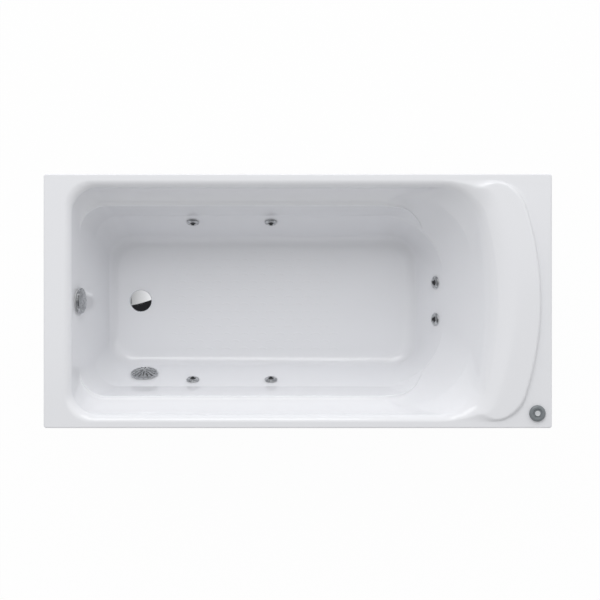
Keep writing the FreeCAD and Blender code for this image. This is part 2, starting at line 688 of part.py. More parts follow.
# ---------------------------------------------------------------- jets
def jet_body(seat, thickness, along):
    """Moulded body behind the wall: flange, threaded neck, chamber, water tee and air port."""
    face = -thickness - JET_GASKET
    tail = -jet_reach(seat) - JET_CHAMBER_TAIL
    neck = face - JET_THREAD
    room_r = JET_CHAMBER_R - JET_CHAMBER_WALL
    outside = turned([
        (0, face), (JET_BODY_FLANGE_R, face), (JET_BODY_FLANGE_R, face - JET_BODY_FLANGE),
        (JET_CHAMBER_R, face - JET_BODY_FLANGE), (JET_CHAMBER_R, tail), (0, tail),
    ])
    centre = jet_centre(seat)
    port_top = centre + Z_AXIS * AIR_PORT_HEIGHT
    tee = rod(centre - along * JET_STUB, centre + along * JET_STUB, MAIN_R)
    port = rod(centre, port_top, AIR_PORT_R)
    bores = [
        seat.place(disc(JET_SLEEVE_R, neck, face - neck)),
        seat.place(disc(room_r - JET_CHAMBER_WALL, tail + JET_CHAMBER_WALL, neck - tail)),
        rod(centre - along * JET_STUB, centre + along * JET_STUB, MAIN_BORE),
        rod(centre, port_top, AIR_PORT_BORE),
    ]
    return seat.place(outside).fuse([tee, port]).cut(bores)


def jet_gasket(seat, thickness):
    gasket = ring(JET_BODY_FLANGE_R, JET_SLEEVE_R + HOLE_CLEARANCE, -thickness - JET_GASKET, JET_GASKET)
    return seat.place(gasket)


def jet_wall_fitting(seat, thickness):
    """Flange on the wet side with a threaded sleeve that screws into the body."""
    foot = -thickness - JET_GASKET - JET_THREAD
    fitting = turned([
        (JET_SLEEVE_BORE, JET_FLANGE), (JET_FLANGE_R, JET_FLANGE), (JET_FLANGE_R, 0),
        (JET_SLEEVE_R, 0), (JET_SLEEVE_R, foot), (JET_SLEEVE_BORE, foot),
    ])
    return seat.place(fitting)


def jet_ring(seat):
    """Turning trim ring: bevelled face with finger notches, skirt and socket that hold the ball."""
    base = JET_FLANGE + RUNNING_CLEARANCE
    top = base + JET_RING_HEIGHT
    step = JET_RING_HEIGHT / 3
    socket_r = JET_BALL_R + JET_BALL_CLEARANCE
    skirt_r = JET_SLEEVE_BORE - RUNNING_CLEARANCE
    body = turned([
        (socket_r, base - JET_SKIRT), (skirt_r, base - JET_SKIRT), (skirt_r, base), (JET_RING_R, base),
        (JET_RING_R, base + step), (JET_RING_R - step / 2, base + 2 * step),
        (JET_RING_R - 2 * step, top), (JET_MOUTH_R + step, top), (JET_MOUTH_R, top - step),
        (JET_MOUTH_R, base), (socket_r, base),
    ])
    notch = disc(step, base + step, JET_RING_HEIGHT)
    notch.translate(Vector(JET_RING_R + step / 2, 0, 0))
    socket = Part.makeSphere(socket_r, Vector(0, 0, JET_BALL_Z))
    return seat.place(body.cut(around(notch, JET_NOTCHES) + [socket]))


def jet_nozzle(seat):
    """Swivelling ball with a spout and a throat that narrows towards the basin."""
    ball = Part.makeSphere(JET_BALL_R, Vector(0, 0, JET_BALL_Z))
    spout = disc(JET_SPOUT_R, JET_BALL_Z, JET_BALL_R + JET_SPOUT_PROUD)
    throat = Part.makeCone(JET_BALL_R * 0.7, JET_THROAT_R, JET_BALL_R, Vector(0, 0, JET_BALL_Z - JET_BALL_R))
    bore = disc(JET_THROAT_R, JET_BALL_Z - JET_BALL_CLEARANCE, 2 * JET_BALL_R)
    return seat.place(ball.fuse(spout).cut([throat, bore]))


# ---------------------------------------------------------------- water and air mains
def water_manifold():
    """Ring main round the head end that feeds the tees, with the pump's branch and two end caps."""
    seats = jet_seats()
    centres = [jet_centre(seat) for seat in seats]
    per_side = len(SIDE_JETS_X)
    back_near, back_far = centres[-2], centres[-1]
    x_stub = Vector(JET_STUB, 0, 0)
    y_stub = Vector(0, JET_STUB, 0)
    pieces = []
    for side, back in ((0, back_near), (1, back_far)):
        row = centres[side * per_side:(side + 1) * per_side]
        outward = y_stub * (1 if side else -1)
        for first, second in zip(row, row[1:]):
            pieces.append(pipe([first + x_stub, second - x_stub], MAIN_BEND, MAIN_R, MAIN_BORE))
        corner = Vector(back.x, row[-1].y, MAIN_Z)
        run = [row[-1] + x_stub, corner, back + outward]
        pieces.append(pipe(run, MAIN_BEND, MAIN_R, MAIN_BORE))
        pieces.append(rod(row[0] - x_stub - Vector(JET_CHAMBER_WALL, 0, 0), row[0] - x_stub, MAIN_R))
    pieces.append(pipe([back_near + y_stub, back_far - y_stub], MAIN_BEND, MAIN_R, MAIN_BORE))
    start = Vector(back_near.x, VOLUTE_Y, MAIN_Z)
    end = Vector(PUMP_X - VOLUTE_OUTLET, VOLUTE_Y, MAIN_Z)
    near_run = pieces[per_side - 1]
    pieces[per_side - 1] = near_run.fuse(rod(start, end, MAIN_R)).cut(rod(start, end, MAIN_BORE))
    return pieces


def air_manifold():
    """Air main above the ring main, a branch to each jet, and its feed from the deck control."""
    centres = [jet_centre(seat) for seat in jet_seats()]
    near, far, back = centres[0], centres[len(SIDE_JETS_X)], centres[-1]
    tail = Vector(2 * AIR_MAIN_R, 0, 0)
    lift = Vector(0, 0, AIR_MAIN_RISE)
    feed = [near - tail + lift, Vector(CONTROL_X, near.y, AIR_Z), Vector(CONTROL_X, CONTROL_Y, AIR_Z),
            Vector(CONTROL_X, CONTROL_Y, CONTROL_FOOT_Z)]
    loop = [Vector(back.x, near.y, AIR_Z), Vector(back.x, far.y, AIR_Z), far - tail + lift]
    runs = [(feed, AIR_FEED_BEND), (loop, AIR_MAIN_BEND)]
    outside = [swept(points, bend, AIR_MAIN_R) for points, bend in runs]
    bores = [swept(points, bend, AIR_MAIN_BORE) for points, bend in runs]
    for centre in centres:
        foot = centre + Z_AXIS * AIR_PORT_HEIGHT
        outside.append(rod(foot, centre + lift, AIR_PORT_R))
        bores.append(rod(foot, centre + lift, AIR_PORT_BORE))
    return outside[0].fuse(outside[1:]).cut(bores)


# ---------------------------------------------------------------- suction
def suction_cover():
    """Domed grille over the intake, with slots that fan out in two rings and a snap skirt."""
    base = SUCTION_FLANGE + RUNNING_CLEARANCE
    wall = SUCTION_COVER_WALL
    dome_r = (SUCTION_COVER_R ** 2 + SUCTION_COVER_DOME ** 2) / (2 * SUCTION_COVER_DOME)
    edge = disc(SUCTION_COVER_R, -SUCTION_COVER_RIM, SUCTION_COVER_RIM)
    cap = Part.makeSphere(dome_r, Vector(0, 0, SUCTION_COVER_DOME - dome_r))
    cap = cap.common(disc(SUCTION_COVER_R, 0, SUCTION_COVER_DOME)).fuse(edge)
    inner = Part.makeSphere(dome_r - wall, Vector(0, 0, SUCTION_COVER_DOME - dome_r))
    inner_r = SUCTION_COVER_R - wall
    inner = inner.common(disc(inner_r, 0, SUCTION_COVER_DOME)).fuse(
        disc(inner_r, -SUCTION_COVER_RIM, SUCTION_COVER_RIM))
    cap = cap.cut(inner)
    slots = []
    for radius, reach in ((SUCTION_COVER_R * 0.34, SUCTION_COVER_R * 0.22),
                          (SUCTION_COVER_R * 0.70, SUCTION_COVER_R * 0.22)):
        half = SUCTION_SLOT_WIDTH / 2
        slot = Part.makeBox(2 * reach, SUCTION_SLOT_WIDTH, 2 * SUCTION_COVER_DOME,
                            Vector(radius - reach, -half, 0))
        slots += around(slot, SUCTION_SLOTS if radius > SUCTION_COVER_R / 2 else SUCTION_SLOTS // 2)
    hub = disc(SUCTION_SCREW_R + wall, -SUCTION_COVER_RIM, SUCTION_COVER_RIM + SUCTION_COVER_DOME - wall)
    cap = cap.cut(slots).fuse(hub)
    cap.translate(Vector(0, 0, base + SUCTION_COVER_RIM))
    return SUCTION_SEAT.place(cap)


def suction_fitting():
    """Wet-side flange with a sleeve through the wall and a cross that takes the cover's screw."""
    thickness = skin(LOWER_DRAFT)
    foot = -thickness - GASKET - SUCTION_THREAD
    fitting = turned([
        (SUCTION_SLEEVE_BORE, SUCTION_FLANGE), (SUCTION_FLANGE_R, SUCTION_FLANGE), (SUCTION_FLANGE_R, 0),
        (SUCTION_SLEEVE_R, 0), (SUCTION_SLEEVE_R, foot), (SUCTION_SLEEVE_BORE, foot),
    ])
    bar = Part.makeBox(2 * SUCTION_SLEEVE_BORE + 1, SUCTION_SLOT_WIDTH, SUCTION_FLANGE,
                       Vector(-SUCTION_SLEEVE_BORE - 0.5, -SUCTION_SLOT_WIDTH / 2, 0))
    hub = disc(SUCTION_SCREW_R + SUCTION_COVER_WALL, 0, SUCTION_FLANGE)
    return SUCTION_SEAT.place(fitting.fuse(around(bar, 2, 90) + [hub]))


def suction_gasket():
    thickness = skin(LOWER_DRAFT)
    gasket = ring(SUCTION_FLANGE_R, SUCTION_SLEEVE_R + HOLE_CLEARANCE, -thickness - GASKET, GASKET)
    return SUCTION_SEAT.place(gasket)


def suction_body():
    """Cup behind the wall that turns the intake along the tub towards the pump."""
    face = -skin(LOWER_DRAFT) - GASKET
    neck = face - SUCTION_THREAD
    shoulder = neck - SUCTION_CONE
    tail = -SUCTION_REACH - SUCTION_PIPE_R - SUCTION_CUP_WALL
    cup_r = SUCTION_SLEEVE_R + 2 * SUCTION_CUP_WALL
    neck_r = SUCTION_PIPE_R + SUCTION_CUP_WALL
    outside = turned([
        (0, face), (SUCTION_FLANGE_R, face), (SUCTION_FLANGE_R, face - SUCTION_FLANGE),
        (cup_r, face - SUCTION_FLANGE), (cup_r, neck), (neck_r, shoulder), (neck_r, tail), (0, tail),
    ])
    inside = turned([
        (0, face), (SUCTION_SLEEVE_R, face), (SUCTION_SLEEVE_R, neck), (SUCTION_PIPE_BORE, shoulder),
        (SUCTION_PIPE_BORE, tail + SUCTION_CUP_WALL), (0, tail + SUCTION_CUP_WALL),
    ])
    end = SUCTION_ELBOW + Vector(SUCTION_STUB, 0, 0)
    outside = SUCTION_SEAT.place(outside).fuse(rod(SUCTION_ELBOW, end, SUCTION_PIPE_R))
    return outside.cut([SUCTION_SEAT.place(inside), rod(SUCTION_ELBOW, end, SUCTION_PIPE_BORE)])


def suction_pipe():
    start = SUCTION_ELBOW + Vector(SUCTION_STUB, 0, 0)
    corner = Vector(PUMP_X, SUCTION_ELBOW.y, PUMP_Z)
    end = PUMP_SEAT.behind(-VOLUTE_WIDTH / 2 - INLET_LENGTH)
    return pipe([start, corner, end], SUCTION_BEND, SUCTION_PIPE_R, SUCTION_PIPE_BORE)


# ---------------------------------------------------------------- waste
def waste_flange():
    """Flanged tube in the floor, with a three-armed spider that guides the plug's stem."""
    bore = WASTE_TUBE_R - WASTE_TUBE_WALL
    foot = -WALL - WASTE_TUBE_DROP
    body = turned([
        (bore, WASTE_FLANGE * 0.5), (bore + WASTE_TUBE_WALL, WASTE_FLANGE),
        (WASTE_FLANGE_R - WASTE_FLANGE, WASTE_FLANGE), (WASTE_FLANGE_R, 0), (WASTE_TUBE_R, 0),
        (WASTE_TUBE_R, foot), (bore, foot),
    ])
    hub = disc(SPIDER_HUB_R, foot, SPIDER_THICK)
    arm = Part.makeBox(bore + WASTE_TUBE_WALL / 2, SPIDER_BAR, SPIDER_THICK, Vector(0, -SPIDER_BAR / 2, foot))
    stem_hole = disc(PLUG_STEM_R + RUNNING_CLEARANCE, foot, SPIDER_THICK)
    return WASTE_SEAT.place(body.fuse([hub] + around(arm, 3)).cut(stem_hole))


def drain_plug():
    """Domed cap that covers the flange, with its stem through the spider and a soft seal below."""
    base = WASTE_FLANGE + PLUG_GAP
    dome_r = (PLUG_R ** 2 + PLUG_DOME ** 2) / (2 * PLUG_DOME)
    dome = Part.makeSphere(dome_r, Vector(0, 0, base + PLUG_RIM + PLUG_DOME - dome_r))
    dome = dome.common(disc(PLUG_R, base + PLUG_RIM, PLUG_DOME))
    rim = disc(PLUG_R, base, PLUG_RIM)
    stem = disc(PLUG_STEM_R, -WALL - WASTE_TUBE_DROP - PLUG_STEM_OVER, WALL + WASTE_TUBE_DROP
                + PLUG_STEM_OVER + base)
    return WASTE_SEAT.place(dome.fuse([rim, stem]))


def waste_gasket():
    gasket = ring(WASTE_BODY_FLANGE_R, WASTE_TUBE_R + HOLE_CLEARANCE, WASTE_SPOT_Z - GASKET, GASKET)
    gasket.translate(Vector(WASTE_X, 0, 0))
    return gasket


def waste_body():
    """Chamber under the floor: threaded top, side inlet from the overflow, cone to the trap."""
    top = WASTE_SPOT_Z - GASKET
    inner = WASTE_CHAMBER_R - WASTE_BODY_WALL
    outside = turned([
        (0, top), (WASTE_BODY_FLANGE_R, top), (WASTE_BODY_FLANGE_R, top - WASTE_BODY_WALL),
        (WASTE_CHAMBER_R, top - WASTE_BODY_WALL), (WASTE_CHAMBER_R, WASTE_CHAMBER_FOOT),
        (TRAP_R, WASTE_CHAMBER_FOOT - WASTE_CONE), (TRAP_R, TRAP_TOP), (0, TRAP_TOP),
    ])
    inside = turned([
        (0, top), (WASTE_TUBE_R, top), (WASTE_TUBE_R, top - WASTE_THREAD), (inner, top - WASTE_THREAD),
        (inner, WASTE_CHAMBER_FOOT), (TRAP_BORE, WASTE_CHAMBER_FOOT - WASTE_CONE),
        (TRAP_BORE, TRAP_TOP), (0, TRAP_TOP),
    ])
    outer_end = Vector(-WASTE_INLET, 0, OVERFLOW_RUN_Z)
    inner_end = Vector(0, 0, OVERFLOW_RUN_Z)
    body = outside.fuse(rod(outer_end, inner_end, OVERFLOW_PIPE_R))
    body = body.cut([inside, rod(outer_end, inner_end, OVERFLOW_PIPE_BORE)])
    body.translate(Vector(WASTE_X, 0, 0))
    return body


def trap():
    """Low water trap with its union nut; the outlet points to the far side."""
    down = Vector(WASTE_X, 0, TRAP_TOP)
    low = Vector(WASTE_X, 0, TRAP_DIP)
    rise = Vector(WASTE_X, 2 * TRAP_BEND, TRAP_DIP)
    out = Vector(WASTE_X, 2 * TRAP_BEND, TRAP_OUTLET_Z)
    end = Vector(WASTE_X, TRAP_OUTLET_Y, TRAP_OUTLET_Z)
    body = pipe([down, low, rise, out, end], TRAP_BEND - TRAP_BEND_SLACK, TRAP_R, TRAP_BORE)
    nut = ring(TRAP_NUT_R, TRAP_R, TRAP_TOP - TRAP_NUT_LENGTH / 2, TRAP_NUT_LENGTH)
    nut.translate(Vector(WASTE_X, 0, 0))
    return body.fuse(nut)


# ---------------------------------------------------------------- overflow
def overflow_gasket():
    thickness = skin(FOOT_DRAFT)
    gasket = ring(OVERFLOW_BODY_R, OVERFLOW_SLEEVE_R + HOLE_CLEARANCE, -thickness - GASKET, GASKET)
    return OVERFLOW_SEAT.place(gasket)


def overflow_collar():
    """Threaded ring from the wet side that clamps the body, open in the middle for water."""
    foot = -skin(FOOT_DRAFT) - GASKET - OVERFLOW_THREAD
    bore = OVERFLOW_SLEEVE_R - WASTE_TUBE_WALL
    collar_ring = turned([
        (bore, OVERFLOW_FLANGE), (OVERFLOW_FLANGE_R, OVERFLOW_FLANGE), (OVERFLOW_FLANGE_R, 0),
        (OVERFLOW_SLEEVE_R, 0), (OVERFLOW_SLEEVE_R, foot), (bore, foot),
    ])
    return OVERFLOW_SEAT.place(collar_ring)


def overflow_body():
    """Cup behind the foot wall with the spindle's bearing and a spigot that points down."""
    face = -skin(FOOT_DRAFT) - GASKET
    back = face - OVERFLOW_BODY_DEPTH
    wall = WASTE_BODY_WALL
    cup_r = OVERFLOW_BODY_R - 2 * wall + 1
    outside = turned([
        (0, face), (OVERFLOW_BODY_R, face), (OVERFLOW_BODY_R, face - wall), (cup_r, face - wall),
        (cup_r, back), (0, back),
    ])
    room = turned([
        (0, face), (OVERFLOW_SLEEVE_R, face), (OVERFLOW_SLEEVE_R, back + wall), (0, back + wall),
    ])
    centre = OVERFLOW_SEAT.behind(OVERFLOW_REACH)
    end = Vector(centre.x, 0, OVERFLOW_SPIGOT_Z)
    bearing = disc(OVERFLOW_HUB_R, back, OVERFLOW_HUB_LENGTH)
    spindle_hole = disc(OVERFLOW_SPINDLE_R + RUNNING_CLEARANCE, back + wall, OVERFLOW_HUB_LENGTH)
    body = OVERFLOW_SEAT.place(outside).fuse(rod(centre, end, OVERFLOW_PIPE_R))
    body = body.cut([OVERFLOW_SEAT.place(room), rod(centre, end, OVERFLOW_PIPE_BORE)])
    return body.fuse(OVERFLOW_SEAT.place(bearing)).cut(OVERFLOW_SEAT.place(spindle_hole))


def overflow_knob():
    """Nearly flush turning disc with a dished face, finger scallops and its spindle."""
    base = OVERFLOW_FLANGE + OVERFLOW_STANDOFF
    top = base + OVERFLOW_KNOB_THICK
    step = OVERFLOW_KNOB_THICK / 3
    knob = turned([
        (0, base), (OVERFLOW_KNOB_R - step, base), (OVERFLOW_KNOB_R, base + step),
        (OVERFLOW_KNOB_R, top - step), (OVERFLOW_KNOB_R - step, top), (OVERFLOW_KNOB_R * 0.6, top - step / 2),
        (0, top - step),
    ])
    scallop = disc(2 * step, base, 2 * OVERFLOW_KNOB_THICK)
    scallop.translate(Vector(OVERFLOW_KNOB_R + step, 0, 0))
    foot = -skin(FOOT_DRAFT) - GASKET - OVERFLOW_BODY_DEPTH + WASTE_BODY_WALL + RUNNING_CLEARANCE
    spindle = disc(OVERFLOW_SPINDLE_R, foot, base + step - foot)
    knob = knob.cut(around(scallop, OVERFLOW_SCALLOPS)).fuse(spindle)
    return OVERFLOW_SEAT.place(knob)


def overflow_pipe():
    start = Vector(OVERFLOW_SEAT.behind(OVERFLOW_REACH).x, 0, OVERFLOW_SPIGOT_Z)
    corner = Vector(start.x, 0, OVERFLOW_RUN_Z)
    end = Vector(WASTE_X - WASTE_INLET, 0, OVERFLOW_RUN_Z)
    return pipe([start, corner, end], OVERFLOW_PIPE_BEND, OVERFLOW_PIPE_R, OVERFLOW_PIPE_BORE)


# ---------------------------------------------------------------- deck control
def control_housing():
    """Flanged tube through the deck: collar for the ring, bore for the button, air outlet below."""
    foot = CONTROL_FOOT_Z - RIM_HEIGHT
    seat_z = foot + CONTROL_CONE
    outside = turned([
        (0, CONTROL_COLLAR), (CONTROL_COLLAR_R, CONTROL_COLLAR), (CONTROL_COLLAR_R, CONTROL_FLANGE),
        (CONTROL_FLANGE_R, CONTROL_FLANGE), (CONTROL_FLANGE_R, 0), (CONTROL_HOUSING_R, 0),
        (CONTROL_HOUSING_R, seat_z + CONTROL_CONE), (AIR_MAIN_R, seat_z), (AIR_MAIN_R, foot), (0, foot),
    ])
    button_bore = disc(BUTTON_R + RUNNING_CLEARANCE, CONTROL_COLLAR - BUTTON_BORE, BUTTON_BORE)
    room = disc(AIR_MAIN_BORE, foot, -foot - BUTTON_BORE)
    return CONTROL_SEAT.place(outside.cut([button_bore, room]))


def control_nut():
    nut = hexagon(CONTROL_NUT_R, -WALL - CONTROL_NUT_THICK, CONTROL_NUT_THICK)
    return CONTROL_SEAT.place(nut.cut(disc(CONTROL_HOUSING_R, -WALL - CONTROL_NUT_THICK, CONTROL_NUT_THICK)))


def control_ring():
    """Air regulator: a turning ring with a bevel and finger flutes round the button."""
    base = CONTROL_FLANGE + RUNNING_CLEARANCE
    top = base + CONTROL_RING_HEIGHT
    step = CONTROL_RING_HEIGHT / 3
    bore = CONTROL_COLLAR_R + RUNNING_CLEARANCE
    body = turned([
        (bore, base), (CONTROL_RING_R, base), (CONTROL_RING_R, base + step),
        (CONTROL_RING_R - step, top - step / 2), (CONTROL_RING_R - 2 * step, top),
        (bore + step, top), (bore, top - step),
    ])
    flute = disc(step / 2, base + step, CONTROL_RING_HEIGHT)
    flute.translate(Vector(CONTROL_RING_R, 0, 0))
    return CONTROL_SEAT.place(body.cut(around(flute, CONTROL_NOTCHES)))


def start_button():
    """Sprung air button with a dished top; its skirt slides in the housing."""
    top = CONTROL_FLANGE + RUNNING_CLEARANCE + CONTROL_RING_HEIGHT
    foot = CONTROL_COLLAR - BUTTON_BORE + BUTTON_TRAVEL + RUNNING_CLEARANCE
    button = turned([
        (0, foot), (BUTTON_R, foot), (BUTTON_R, top - 1), (BUTTON_R - 1, top), (BUTTON_R / 2, top - 0.5),
        (0, top - 0.5),
    ])
    return CONTROL_SEAT.place(button)


# ---------------------------------------------------------------- cradle
def box_tube(start, end, size):
    """Square tube between two points on its axis, along X, Y or Z, open at its ends."""
    run = end - start
    across = [size / 2 if abs(part) < 1e-6 else 0.0 for part in (run.x, run.y, run.z)]
    inner = [max(part - TUBE_WALL, 0.0) for part in across]
    outer_box = Part.makeBox(*[abs(run[i]) + 2 * across[i] for i in range(3)], start - Vector(*across))
    inner_box = Part.makeBox(*[abs(run[i]) + 2 * inner[i] for i in range(3)], start - Vector(*inner))
    return outer_box.cut(inner_box)


def bolt_points():
    return [(x, y) for x in (FOOT_CROSS_X, MIDDLE_CROSS_X, HEAD_CROSS_X) for y in (-RAIL_Y, RAIL_Y)]


def bolt_holes():
    holes = []
    for x, y in bolt_points():
        holes.append(Part.makeCylinder(BOLT_R + BOLT_CLEARANCE, TUBE + 2 * TUBE_WALL,
                                       Vector(x, y, CROSS_UNDER - TUBE_WALL / 2)))
    return holes


def leveller_points():
    return [(FOOT_CROSS_X, -LEVELLER_Y), (FOOT_CROSS_X, LEVELLER_Y), (MIDDLE_CROSS_X, 0.0),
            (HEAD_CROSS_X, -LEVELLER_Y), (HEAD_CROSS_X, LEVELLER_Y)]


def frame_rails():
    rails = []
    middle = RAIL_UNDER + TUBE / 2
    for y in (-RAIL_Y, RAIL_Y):
        start = Vector(FOOT_CROSS_X - CROSS_OVERHANG, y, middle)
        end = Vector(HEAD_CROSS_X + CROSS_OVERHANG, y, middle)
        rails.append(box_tube(start, end, TUBE).cut(bolt_holes()))
    return rails


def frame_cross(x):
    middle = CROSS_UNDER + TUBE / 2
    half = UPRIGHT_Y + TUBE / 2
    tube = box_tube(Vector(x, -half, middle), Vector(x, half, middle), TUBE)
    holes = [Part.makeCylinder(LEVELLER_STEM_R + RUNNING_CLEARANCE, 2 * TUBE, Vector(px, py, CROSS_UNDER - 1))
             for px, py in leveller_points() if px == x]
    return tube.cut(bolt_holes() + holes)


def frame_uprights():
    return [box_tube(Vector(x, y, RAIL_UNDER), Vector(x, y, RIM_HEIGHT - WALL), UPRIGHT)
            for x in (FOOT_CROSS_X, HEAD_CROSS_X) for y in (-UPRIGHT_Y, UPRIGHT_Y)]


def frame_bolts():
    """Hexagon bolts from below, each with its nut on the rail's inner face."""
    bolts = []
    grip = TUBE + TUBE_WALL
    for x, y in bolt_points():
        head = hexagon(BOLT_HEAD_R, -BOLT_HEAD, BOLT_HEAD)
        shank = disc(BOLT_R, 0, grip + 1.5 * BOLT_HEAD)
        nut = hexagon(BOLT_HEAD_R, grip, BOLT_HEAD)
        bolt = head.fuse([shank, nut])
        bolt.translate(Vector(x, y, CROSS_UNDER))
        bolts.append(bolt)
    return bolts


def base_board():
    """Board bedded under the basin floor; its top follows the floor's fall and rounding."""
    board = Part.makeBox(BOARD_HEAD_X - BOARD_FOOT_X, 2 * BOARD_HALF_WIDTH, BOARD_THICK + BOARD_BEDDING,
                         Vector(BOARD_FOOT_X, -BOARD_HALF_WIDTH, BOARD_UNDER))
    upright = [edge for edge in board.Edges if abs(edge.Length - BOARD_THICK - BOARD_BEDDING) < 1e-6]
    board = board.makeFillet(BOARD_CORNER, upright)
    return board.cut(stacked(basin_sections(WALL)))


def rim_battens():
    battens = []
    bottom = RIM_HEIGHT - BATTEN_DROP - BATTEN_HEIGHT
    for y in (-HALF_WIDTH + WALL, HALF_WIDTH - WALL - BATTEN_WIDTH):
        batten = Part.makeBox(BATTEN_HEAD_X - BATTEN_FOOT_X, BATTEN_WIDTH, BATTEN_HEIGHT,
                              Vector(BATTEN_FOOT_X, y, bottom))
        battens.append(batten)
    return battens


def levelling_foot(x, y):
    foot = turned([
        (0, 0), (LEVELLER_PAD_R, 0), (LEVELLER_PAD_R, LEVELLER_PAD / 2), (LEVELLER_STEM_R * 2, LEVELLER_PAD),
        (LEVELLER_STEM_R, LEVELLER_PAD), (LEVELLER_STEM_R, LEVELLER_STEM_TOP - 1),
        (LEVELLER_STEM_R - 1, LEVELLER_STEM_TOP), (0, LEVELLER_STEM_TOP),
    ])
    foot.translate(Vector(x, y, 0))
    return foot


def foot_locknuts():
    nuts = []
    for x, y in leveller_points():
        nut = hexagon(LEVELLER_NUT_R, CROSS_UNDER - LEVELLER_NUT, LEVELLER_NUT)
        nut = nut.cut(disc(LEVELLER_STEM_R + RUNNING_CLEARANCE, CROSS_UNDER - LEVELLER_NUT, LEVELLER_NUT))
        nut.translate(Vector(x, y, 0))
        nuts.append(nut)
    return nuts


# ---------------------------------------------------------------- pump
def pump_volute():
    """Spiral casing with axial inlet and tangential outlet."""
    half = VOLUTE_WIDTH / 2
    inside_r = VOLUTE_R - VOLUTE_WALL
    inside_half = half - VOLUTE_WALL
    outside = turned([
        (0, -half), (VOLUTE_R - VOLUTE_WALL, -half), (VOLUTE_R, -half + VOLUTE_WALL),
        (VOLUTE_R, half - VOLUTE_WALL), (VOLUTE_R - VOLUTE_WALL, half),
        (SUCTION_PIPE_R + VOLUTE_WALL, half), (SUCTION_PIPE_R, half + VOLUTE_WALL),
        (SUCTION_PIPE_R, half + INLET_LENGTH), (0, half + INLET_LENGTH),
    ])
    inside = [disc(inside_r, -inside_half, 2 * inside_half), disc(SUCTION_PIPE_BORE, 0, half + INLET_LENGTH),
              disc(SHAFT_R + RUNNING_CLEARANCE, -half, half)]
    start = Vector(PUMP_X, VOLUTE_Y, MAIN_Z)
    end = Vector(PUMP_X - VOLUTE_OUTLET, VOLUTE_Y, MAIN_Z)
    body = PUMP_SEAT.place(outside).fuse(rod(start, end, MAIN_R))
    return body.cut([PUMP_SEAT.place(tool) for tool in inside] + [rod(start, end, MAIN_BORE)])


def pump_union_nuts():
    inlet = PUMP_SEAT.place(ring(UNION_R, SUCTION_PIPE_R, VOLUTE_WIDTH / 2 + INLET_LENGTH - UNION_LENGTH / 2,
                                 UNION_LENGTH))
    outlet_seat = Seat(Vector(PUMP_X - VOLUTE_OUTLET, VOLUTE_Y, MAIN_Z), Vector(-1, 0, 0), Vector(0, 1, 0))
    outlet = outlet_seat.place(ring(MAIN_UNION_R, MAIN_R, -UNION_LENGTH / 2, UNION_LENGTH))
    return [inlet, outlet]


def pump_motor_casing():
    """Finned motor body; its fins leave the underside free for the saddle."""
    front = -VOLUTE_WIDTH / 2
    back = front - MOTOR_LENGTH
    body = disc(MOTOR_R, back, MOTOR_LENGTH)
    length = MOTOR_LENGTH - 2 * MOTOR_END
    fins = []
    for index in range(MOTOR_FINS):
        angle = 360.0 * index / MOTOR_FINS + 90.0
        if abs((angle - 270.0 + 180.0) % 360.0 - 180.0) < FIN_FREE:
            continue
        fin = Part.makeBox(FIN_HEIGHT + 1, FIN_THICK, length,
                           Vector(MOTOR_R - 1, -FIN_THICK / 2, back + MOTOR_END))
        fin.rotate(Vector(0, 0, 0), Z_AXIS, angle)
        fins.append(fin)
    bore = disc(SHAFT_R + RUNNING_CLEARANCE, back, MOTOR_LENGTH)
    return PUMP_SEAT.place(body.fuse(fins).cut(bore))


def pump_fan_cover():
    end = -VOLUTE_WIDTH / 2 - MOTOR_LENGTH
    cover = disc(MOTOR_R, end - FAN_COVER_LENGTH, FAN_COVER_LENGTH)
    cover = cover.cut(disc(MOTOR_R - FAN_COVER_WALL, end - FAN_COVER_LENGTH + FAN_COVER_WALL,
                           FAN_COVER_LENGTH))
    slot = Part.makeBox(MOTOR_R * 0.45, 2 * FAN_COVER_WALL, 2 * FAN_COVER_WALL,
                        Vector(MOTOR_R * 0.35, -FAN_COVER_WALL, end - FAN_COVER_LENGTH - 1))
    return PUMP_SEAT.place(cover.cut(around(slot, FAN_COVER_SLOTS)))


def pump_shaft():
    back = -VOLUTE_WIDTH / 2 - MOTOR_LENGTH - FAN_GAP - FAN_WIDTH
    return PUMP_SEAT.place(disc(SHAFT_R, back, -back))


def pump_impeller():
    """Open impeller: disc, hub and curved vanes."""
    base = -VOLUTE_WIDTH / 2 + VOLUTE_WALL + IMPELLER_GAP
    plate = disc(IMPELLER_R, base, IMPELLER_THICK)
    hub = disc(2 * SHAFT_R, base, -base)
    vane_r = IMPELLER_R * 0.8
    vane = ring(vane_r, vane_r - VANE_THICK, base, IMPELLER_THICK + VANE_HEIGHT)
    vane.translate(Vector(0, vane_r, 0))
    reach = disc(IMPELLER_R, base, IMPELLER_THICK + VANE_HEIGHT)
    half = Part.makeBox(IMPELLER_R, 2 * IMPELLER_R, 2 * VOLUTE_WIDTH, Vector(0, 0, base))
    vane = vane.common(reach).common(half)
    wheel = plate.fuse([hub] + around(vane, IMPELLER_VANES)).cut(disc(SHAFT_R, base, -base))
    return PUMP_SEAT.place(wheel)


def pump_fan():
    front = -VOLUTE_WIDTH / 2 - MOTOR_LENGTH - FAN_GAP
    hub = ring(2 * SHAFT_R, SHAFT_R, front - FAN_WIDTH, FAN_WIDTH)
    blade = Part.makeBox(FAN_R - 1.5 * SHAFT_R, FIN_THICK, FAN_WIDTH,
                         Vector(1.5 * SHAFT_R, -FIN_THICK / 2, front - FAN_WIDTH))
    return PUMP_SEAT.place(hub.fuse(around(blade, FAN_BLADES)))


